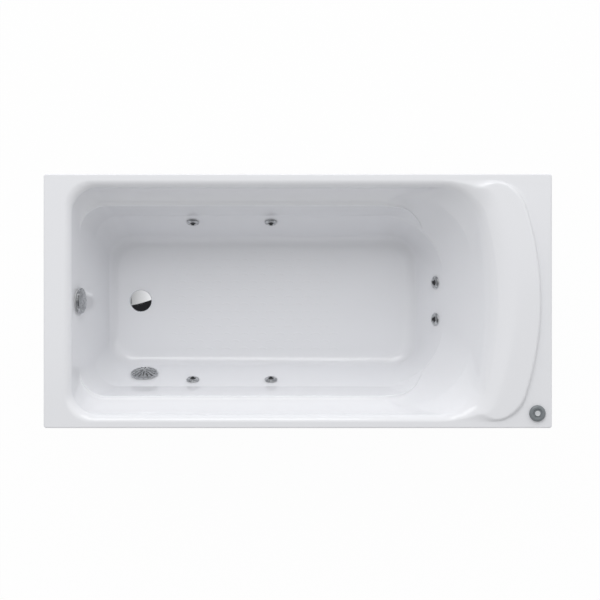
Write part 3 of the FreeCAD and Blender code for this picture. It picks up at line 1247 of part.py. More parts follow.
def pump_bracket():
    """Folded plate on the two rails with two saddles that follow the motor."""
    plate = Part.makeBox(2 * BRACKET_HALF_X, 2 * BRACKET_HALF_Y, BRACKET_THICK,
                         Vector(PUMP_X - BRACKET_HALF_X, -BRACKET_HALF_Y, BOARD_UNDER))
    top = PUMP_Z - MOTOR_R * cosine(SADDLE_WRAP)
    saddles = []
    front_y = VOLUTE_Y + VOLUTE_WIDTH / 2
    for y in (front_y + MOTOR_END, front_y + MOTOR_LENGTH - MOTOR_END - SADDLE_THICK):
        saddles.append(Part.makeBox(2 * SADDLE_HALF, SADDLE_THICK, top - BOARD_UNDER,
                                    Vector(PUMP_X - SADDLE_HALF, y, BOARD_UNDER)))
    motor = PUMP_SEAT.place(disc(MOTOR_R, -VOLUTE_WIDTH / 2 - MOTOR_LENGTH, MOTOR_LENGTH))
    return plate.fuse(saddles).cut(motor)


def control_box():
    """Closed switch box on the far head upright, with its cable gland pointing down."""
    back = UPRIGHT_Y - UPRIGHT / 2
    box = Part.makeBox(BOX_WIDTH, BOX_DEPTH, BOX_HEIGHT,
                       Vector(HEAD_CROSS_X - BOX_WIDTH / 2, back - BOX_DEPTH, BOX_BOTTOM))
    box = box.makeFillet(BOX_EDGE, [edge for edge in box.Edges if edge.BoundBox.YMin < back - 1])
    gland_at = Vector(HEAD_CROSS_X - GLAND_OFFSET, back - BOX_DEPTH / 2, BOX_BOTTOM - GLAND_LENGTH)
    gland = Part.makeCylinder(GLAND_R, GLAND_LENGTH, gland_at)
    bore = Part.makeCylinder(GLAND_BORE, GLAND_LENGTH, gland_at)
    return box.fuse(gland).cut(bore)


# ---------------------------------------------------------------- files
def save(name, piece):
    """One STEP file for each piece; a list of separate solids becomes one group."""
    shape = Part.makeCompound(piece) if isinstance(piece, list) else piece
    shape.exportStep("parts/" + name + ".step")
    if not shape.isValid():
        print("not valid:", name)


def build():
    os.makedirs("parts", exist_ok=True)
    save("tub_shell", tub_shell())
    save("base_board", base_board())
    save("rim_battens", rim_battens())
    save("frame_rails", frame_rails())
    save("frame_cross_foot", frame_cross(FOOT_CROSS_X))
    save("frame_cross_middle", frame_cross(MIDDLE_CROSS_X))
    save("frame_cross_head", frame_cross(HEAD_CROSS_X))
    save("frame_uprights", frame_uprights())
    save("frame_bolts", frame_bolts())
    save("foot_locknuts", foot_locknuts())
    for number, (x, y) in enumerate(leveller_points(), 1):
        save("levelling_foot_%d" % number, levelling_foot(x, y))
    save("waste_flange", waste_flange())
    save("waste_body", waste_body())
    save("waste_gasket", waste_gasket())
    save("trap", trap())
    save("drain_plug", drain_plug())
    save("overflow_body", overflow_body())
    save("overflow_gasket", overflow_gasket())
    save("overflow_collar", overflow_collar())
    save("overflow_knob", overflow_knob())
    save("overflow_pipe", overflow_pipe())
    save("suction_cover", suction_cover())
    save("suction_fitting", suction_fitting())
    save("suction_gasket", suction_gasket())
    save("suction_body", suction_body())
    save("suction_pipe", suction_pipe())
    seats = jet_seats()
    skins = [jet_skin(index) for index in range(len(seats))]
    along = [Vector(0, 1, 0) if seat in seats[-2:] else Vector(1, 0, 0) for seat in seats]
    save("jet_bodies", [jet_body(*each) for each in zip(seats, skins, along)])
    save("jet_gaskets", [jet_gasket(*each) for each in zip(seats, skins)])
    save("jet_wall_fittings", [jet_wall_fitting(*each) for each in zip(seats, skins)])
    for number, seat in enumerate(seats, 1):
        save("jet_ring_%d" % number, jet_ring(seat))
        save("jet_nozzle_%d" % number, jet_nozzle(seat))
    save("water_manifold", water_manifold())
    save("air_manifold", air_manifold())
    save("pump_volute", pump_volute())
    save("pump_union_nuts", pump_union_nuts())
    save("pump_motor_casing", pump_motor_casing())
    save("pump_fan_cover", pump_fan_cover())
    save("pump_shaft", pump_shaft())
    save("pump_impeller", pump_impeller())
    save("pump_fan", pump_fan())
    save("pump_bracket", pump_bracket())
    save("control_housing", control_housing())
    save("control_nut", control_nut())
    save("control_ring", control_ring())
    save("start_button", start_button())
    save("control_box", control_box())


build()
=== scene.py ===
"""Dressed model of a jetted bathtub: acrylic shell, jets, intake, waste, overflow, pump and cradle."""
import math
import bmesh
import bpy
import numpy as np
from mathutils import Matrix, Vector
from mathutils.geometry import delaunay_2d_cdt


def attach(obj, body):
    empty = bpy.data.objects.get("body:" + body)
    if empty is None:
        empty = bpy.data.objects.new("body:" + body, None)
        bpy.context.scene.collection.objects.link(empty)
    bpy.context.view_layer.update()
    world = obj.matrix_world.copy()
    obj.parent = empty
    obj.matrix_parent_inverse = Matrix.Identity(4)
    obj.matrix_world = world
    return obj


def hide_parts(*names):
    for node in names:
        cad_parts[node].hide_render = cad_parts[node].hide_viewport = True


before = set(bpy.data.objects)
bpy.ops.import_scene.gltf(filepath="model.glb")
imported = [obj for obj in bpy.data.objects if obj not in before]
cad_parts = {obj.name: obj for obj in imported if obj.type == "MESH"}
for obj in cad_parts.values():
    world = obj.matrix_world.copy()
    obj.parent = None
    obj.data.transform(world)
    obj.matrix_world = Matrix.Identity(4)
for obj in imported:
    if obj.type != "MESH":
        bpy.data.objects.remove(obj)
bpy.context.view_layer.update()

# ---------------------------------------------------------------------------------------------------------
# The tub. One sheet of white sanitary acrylic is drawn by vacuum over a mould and stiffened from behind with
# sprayed laminate. Deck, rolled mouth, armrests, backrest, headrest shelf and turned-down lip are one piece.
RIM = 0.580
BASIN_DEPTH = 0.400
HALF_LENGTH = 0.750
HALF_WIDTH = 0.375
SKIN = 0.005
LIP = 0.040
EDGE_ROUND = 0.004
CORNER_ROUND = 0.008
SIDE_DECK, FOOT_DECK = 0.018, 0.060
MOUTH_ROLL = 0.018
WALL_TOP = HALF_WIDTH - SIDE_DECK - MOUTH_ROLL
FOOT_TOP = -HALF_LENGTH + FOOT_DECK + MOUTH_ROLL
LEDGE_DEPTH, LEDGE_WIDTH, SCOOP, LEDGE_EDGE = 0.090, 0.032, 0.064, 0.006
SCOOP_CURVE = 1.5                       # 2 is a quarter of an ellipse, 1 a straight slope
BAND_DEPTH = 0.235
FOOT_CORNER = 0.078
HEAD_CORNER_MOUTH, HEAD_CORNER_LEDGE, HEAD_CORNER_FLOOR = 0.105, 0.195, 0.062
HEAD_BOW_MOUTH, HEAD_BOW_FLOOR = 1.0, 3.2
FLOOR_FILLET = 0.026
FLOOR_FALL = math.radians(0.5)
FLOOR_HEAD_X = 0.370
WASTE_X, WASTE_HOLE_R = -0.509, 0.0255
UPPER_LEAN, BAND_LEAN, LOWER_LEAN, FOOT_LEAN, BACK_LEAN = (
    math.tan(math.radians(angle)) for angle in (9.5, 8.0, 22.0, 9.5, 27.0))
BAND_FOOT_Y = (WALL_TOP - LEDGE_DEPTH * UPPER_LEAN - LEDGE_WIDTH - LEDGE_EDGE
               - (BAND_DEPTH - LEDGE_DEPTH - LEDGE_EDGE) * BAND_LEAN)
BEND = 0.090
SHELF_START, SHELF_END, SHELF_RISE = 0.430, 0.718, 0.012
SHELF_BREAK = math.radians(9.0)
HOOK_START, HOOK_END = 0.923, 0.48      # where the armrest dips: share of the side, share of the head corner
HOOK_BEND = 0.29                        # share of the dip that lies on the side
HOOK_TIP = 0.004                        # how far over the band's foot it ends
BAND_SOFT, HOOK_SOFT = 0.0013, 0.020    # rounding of the corner where band and lower wall meet


def quarter(share):
    """Quarter circle that falls from 1 to 0 and ends level as share goes from 0 to 1."""
    rest = 1 - np.clip(share, 0.0, 1.0)
    return 1 - np.sqrt(np.maximum(1 - rest * rest, 0.0))


def step(value, low, high):
    """0 below low, 1 above high, and a smooth step between."""
    share = np.clip((value - low) / (high - low), 0.0, 1.0)
    return share * share * (3 - 2 * share)


def floor_draw(depth):
    """How far the rounding at the floor draws a wall inwards."""
    return FLOOR_FILLET * quarter((BASIN_DEPTH - depth) / FLOOR_FILLET)


def lesser(first, second, soft):
    """The lesser of two widths, with the corner between them rounded off."""
    return (first + second - np.hypot(first - second, soft)) / 2


def plain_side(depth, soft=0.0):
    """Half width of the basin where it has no armrest: a steep upper wall and a sloping lower one."""
    upper = WALL_TOP + MOUTH_ROLL * quarter(depth / MOUTH_ROLL) - np.maximum(depth, 0.0) * UPPER_LEAN
    return lesser(upper, BAND_FOOT_Y + (BAND_DEPTH - depth) * LOWER_LEAN, soft)


def half_width_at(depth, ledge=LEDGE_DEPTH):
    """Half width with an armrest: the wall scoops in to a ledge, and a steep band drops from its edge."""
    down_hook = (ledge - LEDGE_DEPTH) / (BAND_DEPTH - LEDGE_DEPTH)
    soft = HOOK_SOFT * step(down_hook, 0.0, 0.5)
    band = BAND_FOOT_Y + (BAND_DEPTH - depth) * BAND_LEAN
    below = lesser(band, plain_side(depth, soft), BAND_SOFT)
    edge = edge_at(ledge)
    inner = BAND_FOOT_Y + (BAND_DEPTH - ledge - edge) * BAND_LEAN + edge
    width = np.maximum(plain_side(ledge, soft) - inner, 0.0)
    scoop = scoop_at(ledge)
    down = np.clip((depth - ledge + scoop) / scoop, 0.0, 1.0)
    above = plain_side(depth, soft) - width * (1 - (1 - down ** SCOOP_CURVE) ** (1 / SCOOP_CURVE))
    round_off = inner - edge * (1 - quarter((depth - ledge) / edge))
    under = np.where(depth < ledge + edge, round_off, below)
    return np.where(depth <= ledge, above, under) - floor_draw(depth)


def edge_at(ledge):
    """Rounding of the ledge's edge, which gets finer where the armrest thins out to its tip."""
    return LEDGE_EDGE * np.clip(1.15 - (ledge - LEDGE_DEPTH) / (BAND_DEPTH - LEDGE_DEPTH), 0.05, 1.0)


def scoop_at(ledge):
    """Height of the scoop over the ledge, which grows as the armrest dips."""
    return SCOOP * (1 + (ledge - LEDGE_DEPTH) / (BAND_DEPTH - LEDGE_DEPTH))


def foot_at(depth):
    """Foot wall with its rolled mouth and its rounding at the floor."""
    roll = MOUTH_ROLL * quarter(depth / MOUTH_ROLL)
    return FOOT_TOP - roll + np.maximum(depth, 0.0) * FOOT_LEAN + floor_draw(depth)


def backrest_at(depth):
    """Backrest, then a bend of one radius, then a nearly level run over the headrest shelf."""
    slope = SHELF_RISE / (SHELF_END - SHELF_START)
    line_top = FLOOR_HEAD_X + BASIN_DEPTH * BACK_LEAN + BEND * math.hypot(1, BACK_LEAN)
    crest_run, crest_fall = BEND * math.sin(SHELF_BREAK), BEND * math.cos(SHELF_BREAK)
    centre_depth = (crest_fall + slope * (crest_run + SHELF_START - line_top)) / (1 - slope * BACK_LEAN)
    centre_x = line_top - centre_depth * BACK_LEAN
    crest_depth = centre_depth - crest_fall
    over = centre_x - crest_run + (crest_depth - depth) / math.tan(SHELF_BREAK)
    bend = centre_x - np.sqrt(np.maximum(BEND ** 2 - (centre_depth - depth) ** 2, 0.0))
    straight = FLOOR_HEAD_X + (BASIN_DEPTH - depth) * BACK_LEAN - floor_draw(depth)
    bend_end = centre_depth - BEND * math.sin(math.atan(BACK_LEAN))
    return np.where(depth <= crest_depth, over, np.where(depth <= bend_end, bend, straight))


# Half an outline runs from the middle of the foot round the far side to the middle of the head in five
# stretches: foot, foot corner, side, head corner and bowed head.
STRETCHES = (12, 14, 70, 30, 22)
stretch = np.append(np.repeat(np.arange(5), STRETCHES), 4)
share = np.append(np.concatenate([np.linspace(0, 1, points, endpoint=False) for points in STRETCHES]), 1.0)


def head_bow(depth):
    """Radius of the bowed head, flatter towards the floor."""
    return HEAD_BOW_MOUTH + (HEAD_BOW_FLOOR - HEAD_BOW_MOUTH) * np.clip(depth / BASIN_DEPTH, 0.0, 1.0)


def outline_at(depth, half):
    """Plan of the basin for a depth and half width at each point; the near side mirrors the far one."""
    to_ledge = np.clip(depth / LEDGE_DEPTH, 0.0, 1.0)
    to_floor = np.clip((depth - BAND_DEPTH) / (BASIN_DEPTH - BAND_DEPTH), 0.0, 1.0)
    corner = HEAD_CORNER_MOUTH + (HEAD_CORNER_LEDGE - HEAD_CORNER_MOUTH) * to_ledge
    corner += (HEAD_CORNER_FLOOR - corner) * to_floor
    bow = head_bow(depth)
    foot, head = foot_at(depth), backrest_at(depth)
    bow_x = head - bow
    corner_x = bow_x + np.sqrt((bow - corner) ** 2 - (half - corner) ** 2)
    tilt = np.arctan2(half - corner, corner_x - bow_x)
    turn = math.pi * (1 - share / 2)
    bend = math.pi / 2 + (tilt - math.pi / 2) * share
    sweep = tilt * (1 - share)
    x = np.choose(stretch, [foot, foot + FOOT_CORNER * (1 + np.cos(turn)),
                            foot + FOOT_CORNER + (corner_x - foot - FOOT_CORNER) * share,
                            corner_x + corner * np.cos(bend), bow_x + bow * np.cos(sweep)])
    y = np.choose(stretch, [(half - FOOT_CORNER) * share, half - FOOT_CORNER * (1 - np.sin(turn)), half,
                            half - corner * (1 - np.sin(bend)), bow * np.sin(sweep)])
    return np.stack([x, y], -1)


def mirrored(half):
    """Adds the near side to the points of the far side."""
    near = half[..., -2:0:-1, :] * ((1, -1) + (1,) * (half.shape[-1] - 2))
    return np.concatenate([half, near], -2)


def deck_edge(mouth):
    """Outer edge of the deck with its rounded corners, point for point opposite the basin's mouth."""
    foot_y = mouth[stretch == 1][0, 1]
    foot_x, side_x = mouth[stretch == 2][0, 0], mouth[stretch == 3][0, 0]
    head_y = mouth[stretch == 4][0, 1]
    points = []
    for part, portion, (x, y) in zip(stretch, share, mouth):
        if part in (0, 4):
            points.append((-HALF_LENGTH if part == 0 else HALF_LENGTH, y))
        elif part == 1:
            points.append(round_corner((-HALF_LENGTH, foot_y), (foot_x, HALF_WIDTH), portion))
        elif part == 2:
            points.append((x, HALF_WIDTH))
        else:
            points.append(round_corner((HALF_LENGTH, head_y), (side_x, HALF_WIDTH), 1 - portion))
    return np.array(points)


def round_corner(end, side, share):
    """Point on the outer edge from an end face (share 0) round the corner to a long side (share 1)."""
    sign = math.copysign(1, end[0])
    centre = (end[0] - sign * CORNER_ROUND, side[1] - CORNER_ROUND)
    if share < 0.35:
        return end[0], end[1] + (centre[1] - end[1]) * share / 0.35
    if share > 0.65:
        return side[0] + (centre[0] - side[0]) * (1 - share) / 0.35, side[1]
    angle = math.pi / 2 * (share - 0.35) / 0.3
    return centre[0] + sign * CORNER_ROUND * math.cos(angle), centre[1] + CORNER_ROUND * math.sin(angle)


def inside_crease(x, y):
    """Distance inside the headrest's crease: straight sides, two corners and a bow across the tub."""
    half, corner, bow = 0.357, 0.108, 0.920
    bow_x = SHELF_END - bow
    corner_x = bow_x + math.sqrt((bow - corner) ** 2 - (half - corner) ** 2)
    y = np.abs(y)
    tilt = math.atan2(half - corner, corner_x - bow_x)
    in_bow = np.arctan2(y, x - bow_x) < tilt
    in_corner = ~in_bow & (x > corner_x)
    away = np.where(in_bow, bow - np.hypot(x - bow_x, y), half - y)
    return np.where(in_corner, corner - np.hypot(x - corner_x, y - half + corner), away)


def deck_height(x, y):
    """Deck with the headrest shelf, whose crease is crisp behind the head and fades out along the sides."""
    width = 0.007 + 0.033 * (1 - step(x, 0.50, 0.60))
    rise = np.maximum(x - SHELF_START, 0.0) * SHELF_RISE / (SHELF_END - SHELF_START)
    return RIM + rise * step(inside_crease(x, y), -0.001, width)


def along(line, count):
    """Points spread evenly along a line of points."""
    steps = np.append(0.0, np.cumsum(np.linalg.norm(np.diff(line, axis=0), axis=1)))
    places = np.linspace(0, steps[-1], count)
    return np.stack([np.interp(places, steps, line[:, axis]) for axis in range(3)], 1)


def crossing(line):
    """First place where a wall's line comes up through the deck."""
    above = line[:, 2] - deck_height(line[:, 0], line[:, 1])
    index = next((i for i in range(1, len(line)) if above[i] >= -1e-7), len(line) - 1)
    share = above[index - 1] / (above[index - 1] - above[index]) if above[index] != above[index - 1] else 1.0
    point = line[index - 1] + (line[index] - line[index - 1]) * min(max(share, 0.0), 1.0)
    return np.append(line[:index], [point], 0)


def outward(start, end):
    """Deck from the mouth to its outer edge, with points close together at the crease."""
    length = np.hypot(*(end - start))
    places = np.linspace(0, 1, 400)[:, None]
    run = start + (end - start) * places
    inside = inside_crease(run[:, 0], run[:, 1])
    found = np.nonzero((inside[:-1] > 0) & (inside[1:] <= 0))[0]
    middle = places[found[0], 0] * length if len(found) and run[found[0], 0] > SHELF_START else length / 2
    reach = min(0.010, 0.4 * length)
    middle = min(max(middle, 1.15 * reach), length - 1.15 * reach)
    low, high = middle - reach, middle + reach
    shares = np.concatenate([np.linspace(0, low, 9)[:-1], np.linspace(low, high, 15),
                             np.linspace(high, length, 7)[1:]]) / length
    run = start + (end - start) * shares[:, None]
    return np.column_stack([run, deck_height(run[:, 0], run[:, 1])])


def soften(line, middle, before, after):
    """Rounds a line off where the wall meets the deck."""
    steps = np.append(0.0, np.cumsum(np.linalg.norm(np.diff(line, axis=0), axis=1)))
    centre = steps[middle]
    low, high = centre - before, centre + after

    def at(place):
        return np.array([np.interp(place, steps, line[:, axis]) for axis in range(3)])

    first, last, corner = at(low), at(high), line[middle]
    share = np.linspace(0, 1, 22)[:, None]
    curve = (1 - share) ** 2 * first + 2 * share * (1 - share) * corner + share ** 2 * last
    return line[steps < low - 1e-5], curve, line[steps > high + 1e-5]


def run_of(start, end, steps, crowd=False):
    """Depths from start towards end, at every point of half an outline; crowd packs them near start."""
    shares = np.arange(1, steps + 1)[:, None] / steps
    if crowd:
        shares = 1 - np.cos(shares * math.pi / 2)
    return start + (end - start) * shares


def shell_rings():
    """Rings of points from the floor's edge up the walls, over the mouth and out to the foot of the lip."""
    on_side = (stretch == 2) * (share - HOOK_START) / (1 - HOOK_START) * HOOK_BEND
    on_corner = (stretch == 3) * (HOOK_BEND + share / HOOK_END * (1 - HOOK_BEND)) + (stretch == 4)
    hook = np.clip(on_side + on_corner, 0.0, 1.0) ** 1.2
    ledge = LEDGE_DEPTH + (BAND_DEPTH - HOOK_TIP - LEDGE_DEPTH) * hook
    edge, scoop_top = edge_at(ledge), ledge - scoop_at(ledge)
    above_foot = BAND_DEPTH - np.minimum(0.020, 0.4 * (BAND_DEPTH - ledge - edge))
    fillet_top, below_foot = BASIN_DEPTH - FLOOR_FILLET, BAND_DEPTH + 0.020
    level = np.zeros(len(share))
    low = np.concatenate([
        [level + BASIN_DEPTH], run_of(level + BASIN_DEPTH, fillet_top, 10, True),
        run_of(fillet_top, level + below_foot, 12), run_of(below_foot, level + BAND_DEPTH, 6),
        run_of(BAND_DEPTH, above_foot, 5),
        run_of(above_foot, ledge + edge, 9), run_of(ledge, ledge + edge, 6, True)[-2::-1], [ledge],
        run_of(ledge, scoop_top, 14, True)])
    high = np.concatenate([
        [scoop_top], run_of(scoop_top, MOUTH_ROLL, 18), run_of(level, MOUTH_ROLL, 16, True)[-2::-1], [level],
        run_of(level, -SHELF_RISE, 24)])

    def lifted(depth):
        plan = mirrored(outline_at(depth, half_width_at(depth, ledge)))
        deep = mirrored(np.stack([depth, 0 * depth], -1))[..., 0]
        fall = FLOOR_FALL * (1 - np.minimum((BASIN_DEPTH - deep) / FLOOR_FILLET, 1.0))
        return np.concatenate([plan, (RIM - deep + (plan[..., 0] - WASTE_X) * np.sin(fall))[..., None]], -1)

    walls, tops = lifted(low), lifted(high)
    rim_line = mirrored(deck_edge(outline_at(level, half_width_at(level))))
    tangent = np.roll(rim_line, -1, 0) - np.roll(rim_line, 1, 0)
    away = np.column_stack([-tangent[:, 1], tangent[:, 0]])
    away /= np.linalg.norm(away, axis=1)[:, None]
    lines = []
    for index in range(len(rim_line)):
        rise = crossing(tops[:, index])
        start, end = rise[-1, :2], rim_line[index] - away[index] * EDGE_ROUND
        deck = outward(start, end)
        headward = float(step(start[0], 0.44, 0.56))
        if headward > 0.02:
            line = np.append(rise, deck[1:], 0)
            reach = min(0.034 * headward, 0.4 * np.linalg.norm(end - start))
            before, curve, after = soften(line, len(rise) - 1, 0.030 * headward, reach)
            rise, deck = np.append(before, curve[:11], 0), np.concatenate([curve[10:], after])
        corner = []
        for turn in np.linspace(0, math.pi / 2, 6)[1:]:
            out, down = math.sin(turn), 1 - math.cos(turn)
            corner.append(np.append(end + away[index] * EDGE_ROUND * out, RIM - EDGE_ROUND * down))
        heights = np.linspace(RIM - EDGE_ROUND, RIM - LIP, 5)[1:]
        lip = [np.append(rim_line[index], height) for height in heights]
        lines.append(np.concatenate([along(rise, 60)[1:], along(deck, 46)[1:], corner, lip]))
    return np.concatenate([walls, np.array(lines).transpose(1, 0, 2)])


rings = shell_rings()
count = rings.shape[1]


def floor_patch(outline, hole, hole_r):
    """Flat floor inside an outline, with a round hole; returns its points and faces."""
    turns = np.linspace(0, 2 * math.pi, 48, endpoint=False)
    circle = np.column_stack([hole + hole_r * np.cos(turns), hole_r * np.sin(turns)])
    grid = [(x, y) for x in np.arange(-0.56, 0.34, 0.04) for y in np.arange(-0.16, 0.17, 0.04)
            if math.hypot(x - hole, y) > hole_r + 0.012]
    plan = [Vector(point) for point in np.concatenate([outline[:, :2], circle, np.array(grid)])]
    edges = [(i, (i + 1) % len(outline)) for i in range(len(outline))]
    edges += [(len(outline) + i, len(outline) + (i + 1) % 48) for i in range(48)]
    points, _, faces, *_ = delaunay_2d_cdt(plan, edges, [], 1, 1e-7)
    middles = [sum((points[i] for i in face), Vector((0, 0))) / len(face) for face in faces]
    kept = [face for face, middle in zip(faces, middles) if math.hypot(middle.x - hole, middle.y) > hole_r]
    return points, kept


def mesh_piece(name, points, faces, smooth=True):
    mesh = bpy.data.meshes.new(name)
    mesh.from_pydata([tuple(point) for point in points], [], faces)
    mesh.validate()
    piece = bpy.data.objects.new(name, mesh)
    bpy.context.scene.collection.objects.link(piece)
    if smooth:
        mesh.polygons.foreach_set("use_smooth", [True] * len(mesh.polygons))
    return piece


def applied(piece):
    """Turns a piece's modifiers into its mesh."""
    graph = bpy.context.evaluated_depsgraph_get()
    solid = bpy.data.meshes.new_from_object(piece.evaluated_get(graph))
    old = piece.data
    piece.modifiers.clear()
    piece.data = solid
    bpy.data.meshes.remove(old)
    return piece


def tub_mesh():
    points = [tuple(point) for point in rings.reshape(-1, 3)]
    faces = []
    for level in range(len(rings) - 1):
        for index in range(count):
            after = (index + 1) % count
            a, b = level * count + index, level * count + after
            faces.append((a, b, b + count, a + count))
    plan, patch = floor_patch(rings[0], WASTE_X, WASTE_HOLE_R)
    base = len(points)
    numbers = {}
    for number, point in enumerate(plan):
        if number < count:
            numbers[number] = number
        else:
            numbers[number] = base + number - count
            slope = (point.x - WASTE_X) * math.sin(FLOOR_FALL)
            points.append((point.x, point.y, RIM - BASIN_DEPTH + slope))
    faces += [tuple(numbers[i] for i in face) for face in patch]
    return mesh_piece("tub_skin", points, faces)


def drill(piece, cutters):
    """Cuts holes with rods given as (point, direction, radius, half length)."""
    whole = bmesh.new()
    for point, direction, radius, reach in cutters:
        turn = Vector((0, 0, 1)).rotation_difference(Vector(direction)).to_matrix().to_4x4()
        bmesh.ops.create_cone(whole, cap_ends=True, segments=64, radius1=radius, radius2=radius,
                              depth=2 * reach, matrix=Matrix.Translation(point) @ turn)
    mesh = bpy.data.meshes.new("drill")
    whole.to_mesh(mesh)
    whole.free()
    tool = bpy.data.objects.new("drill", mesh)
    bpy.context.scene.collection.objects.link(tool)
    cut = piece.modifiers.new("holes", "BOOLEAN")
    cut.object, cut.operation, cut.solver = tool, "DIFFERENCE", "EXACT"
    applied(piece)
    bpy.data.objects.remove(tool)
    return piece


SIDE_TILT, BACK_TILT = math.atan(LOWER_LEAN), math.atan(BACK_LEAN)
SIDE_JETS_X, SIDE_JET_DEPTH = (-0.331, -0.085), 0.275
BACK_JETS_Y, BACK_JET_DEPTH = 0.058, 0.272
INTAKE_X, INTAKE_DEPTH = -0.488, 0.315
OVERFLOW_DEPTH = 0.075
CONTROL_X, CONTROL_Y = 0.706, -0.331
jet_places = [((x, side * half_width_at(SIDE_JET_DEPTH), RIM - SIDE_JET_DEPTH),
               (0, -side * math.cos(SIDE_TILT), math.sin(SIDE_TILT)))
              for side in (-1, 1) for x in SIDE_JETS_X]
back_bow = float(head_bow(BACK_JET_DEPTH))
swing = math.asin(BACK_JETS_Y / back_bow)
back_jet_x = float(backrest_at(BACK_JET_DEPTH)) - back_bow * (1 - math.cos(swing))
for side in (-1, 1):
    jet_places.append(((back_jet_x, side * BACK_JETS_Y, RIM - BACK_JET_DEPTH),
                       (-math.cos(swing) * math.cos(BACK_TILT), -side * math.sin(swing) * math.cos(BACK_TILT),
                        math.sin(BACK_TILT))))
intake_place = ((INTAKE_X, -half_width_at(INTAKE_DEPTH), RIM - INTAKE_DEPTH),
                (0, math.cos(SIDE_TILT), math.sin(SIDE_TILT)))
foot_tilt = math.atan(FOOT_LEAN)
overflow_place = ((float(foot_at(OVERFLOW_DEPTH)), 0, RIM - OVERFLOW_DEPTH),
                  (math.cos(foot_tilt), 0, math.sin(foot_tilt)))
control_place = ((CONTROL_X, CONTROL_Y, RIM), (0, 0, 1))
JET_HOLE_R, FITTING_HOLE_R, CONTROL_HOLE_R, DRILL_REACH = 0.0160, 0.0275, 0.0155, 0.02

tub = tub_mesh()
shell = tub.modifiers.new("skin", "SOLIDIFY")
shell.thickness, shell.offset, shell.use_even_offset, shell.material_offset = SKIN, -1, True, 1
applied(tub)
drill(tub, [(*place, JET_HOLE_R, DRILL_REACH) for place in jet_places]
      + [(*place, FITTING_HOLE_R, DRILL_REACH) for place in (intake_place, overflow_place)]
      + [(*control_place, CONTROL_HOLE_R, DRILL_REACH)])
tub.data.set_sharp_from_angle(angle=math.radians(38))


class Wire:
    """A number, colour or vector on its way from one node of a finish to the next."""

    def __init__(self, socket):
        self.socket = socket

    def node(self, kind, settings=None, sockets=None, out=0):
        """Adds a node to the same finish: its settings first, then the values or links of its sockets."""
        made = self.socket.id_data.nodes.new(kind)
        for name, value in (settings or {}).items():
            if name == "stops":
                set_stops(made.color_ramp, value)
            else:
                setattr(made, name, value)
        for name, value in (sockets or {}).items():
            feed(made.inputs[name], value)
        return Wire(made.outputs[out])

    def maths(self, operation, first, second=0.0):
        return self.node("ShaderNodeMath", {"operation": operation}, {0: first, 1: second})

    def __add__(self, other):
        return self.maths("ADD", self, other)

    def __radd__(self, other):
        return self.maths("ADD", other, self)

    def __sub__(self, other):
        return self.maths("SUBTRACT", self, other)

    def __rsub__(self, other):
        return self.maths("SUBTRACT", other, self)

    def __mul__(self, other):
        return self.maths("MULTIPLY", self, other)

    def __rmul__(self, other):
        return self.maths("MULTIPLY", other, self)

    def __truediv__(self, other):
        return self.maths("DIVIDE", self, other)

    def __rtruediv__(self, other):
        return self.maths("DIVIDE", other, self)

    def __pow__(self, other):
        return self.maths("POWER", self, other)

    def __lt__(self, other):
        return self.maths("LESS_THAN", self, other)

    def __gt__(self, other):
        return self.maths("GREATER_THAN", self, other)

    def size(self):
        return self.maths("ABSOLUTE", self)

    def ramp(self, *stops):
        return self.node("ShaderNodeValToRGB", {"stops": stops}, {0: self})

    def blend(self, low, high):
        """Colour that goes from low to high as this value goes from 0 to 1."""
        return self.node("ShaderNodeMix", {"data_type": "RGBA"}, {0: self, 6: low, 7: high}, 2)

    def smooth(self, low, high):
        """0 below low, 1 above high, and a smooth step between."""
        settings = {"interpolation_type": "SMOOTHSTEP"}
        return self.node("ShaderNodeMapRange", settings, {0: self, 1: low, 2: high})

    def scaled(self, *factors):
        return self.node("ShaderNodeVectorMath", {"operation": "MULTIPLY"}, {0: self, 1: factors})

    def part(self, axis):
        return self.node("ShaderNodeSeparateXYZ", None, {0: self}, axis)

    def noise(self, scale, detail=2.0, rough=0.5, out=0):
        sockets = {"Vector": self, "Scale": scale, "Detail": detail, "Roughness": rough}
        return self.node("ShaderNodeTexNoise", None, sockets, out)

    def cells(self, scale, feature="F1", out="Distance", **settings):
        sockets = {"Vector": self, "Scale": scale}
        return self.node("ShaderNodeTexVoronoi", {"feature": feature, **settings}, sockets, out)

    def bump(self, strength, distance):
        return self.node("ShaderNodeBump", None, {"Strength": strength, "Distance": distance, "Height": self})


def set_stops(ramp, stops):
    while len(ramp.elements) < len(stops):
        ramp.elements.new(0.5)
    for element, (place, colour) in zip(ramp.elements, stops):
        element.position = place
        element.color = (*colour, 1.0) if len(colour) == 3 else colour


def feed(socket, value):
    if isinstance(value, Wire):
        socket.id_data.links.new(value.socket, socket)
    elif socket.type == "RGBA" and len(value) == 3:
        socket.default_value = (*value, 1.0)
    else:
        socket.default_value = value


def finish(name, **sockets):
    """A finish, its shader with what is the same all over set on it, and each point's place."""
    material = bpy.data.materials.new(name)
    material.use_nodes = True
    shader = material.node_tree.nodes["Principled BSDF"]
    for socket, value in sockets.items():
        feed(shader.inputs[socket.replace("_", " ")], value)
    place = material.node_tree.nodes.new("ShaderNodeTexCoord")
    return material, shader, Wire(place.outputs["Object"])


def vary(shader, **wires):
    """Links what changes over the surface: Base Color, Roughness, Metallic or Normal."""
    for socket, wire in wires.items():
        feed(shader.inputs[socket.replace("_", " ")], wire)


def dress(names, material):
    """Gives CAD nodes their finish."""
    for name in names.split():
        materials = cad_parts[name].data.materials
        materials.clear()
        materials.append(material)


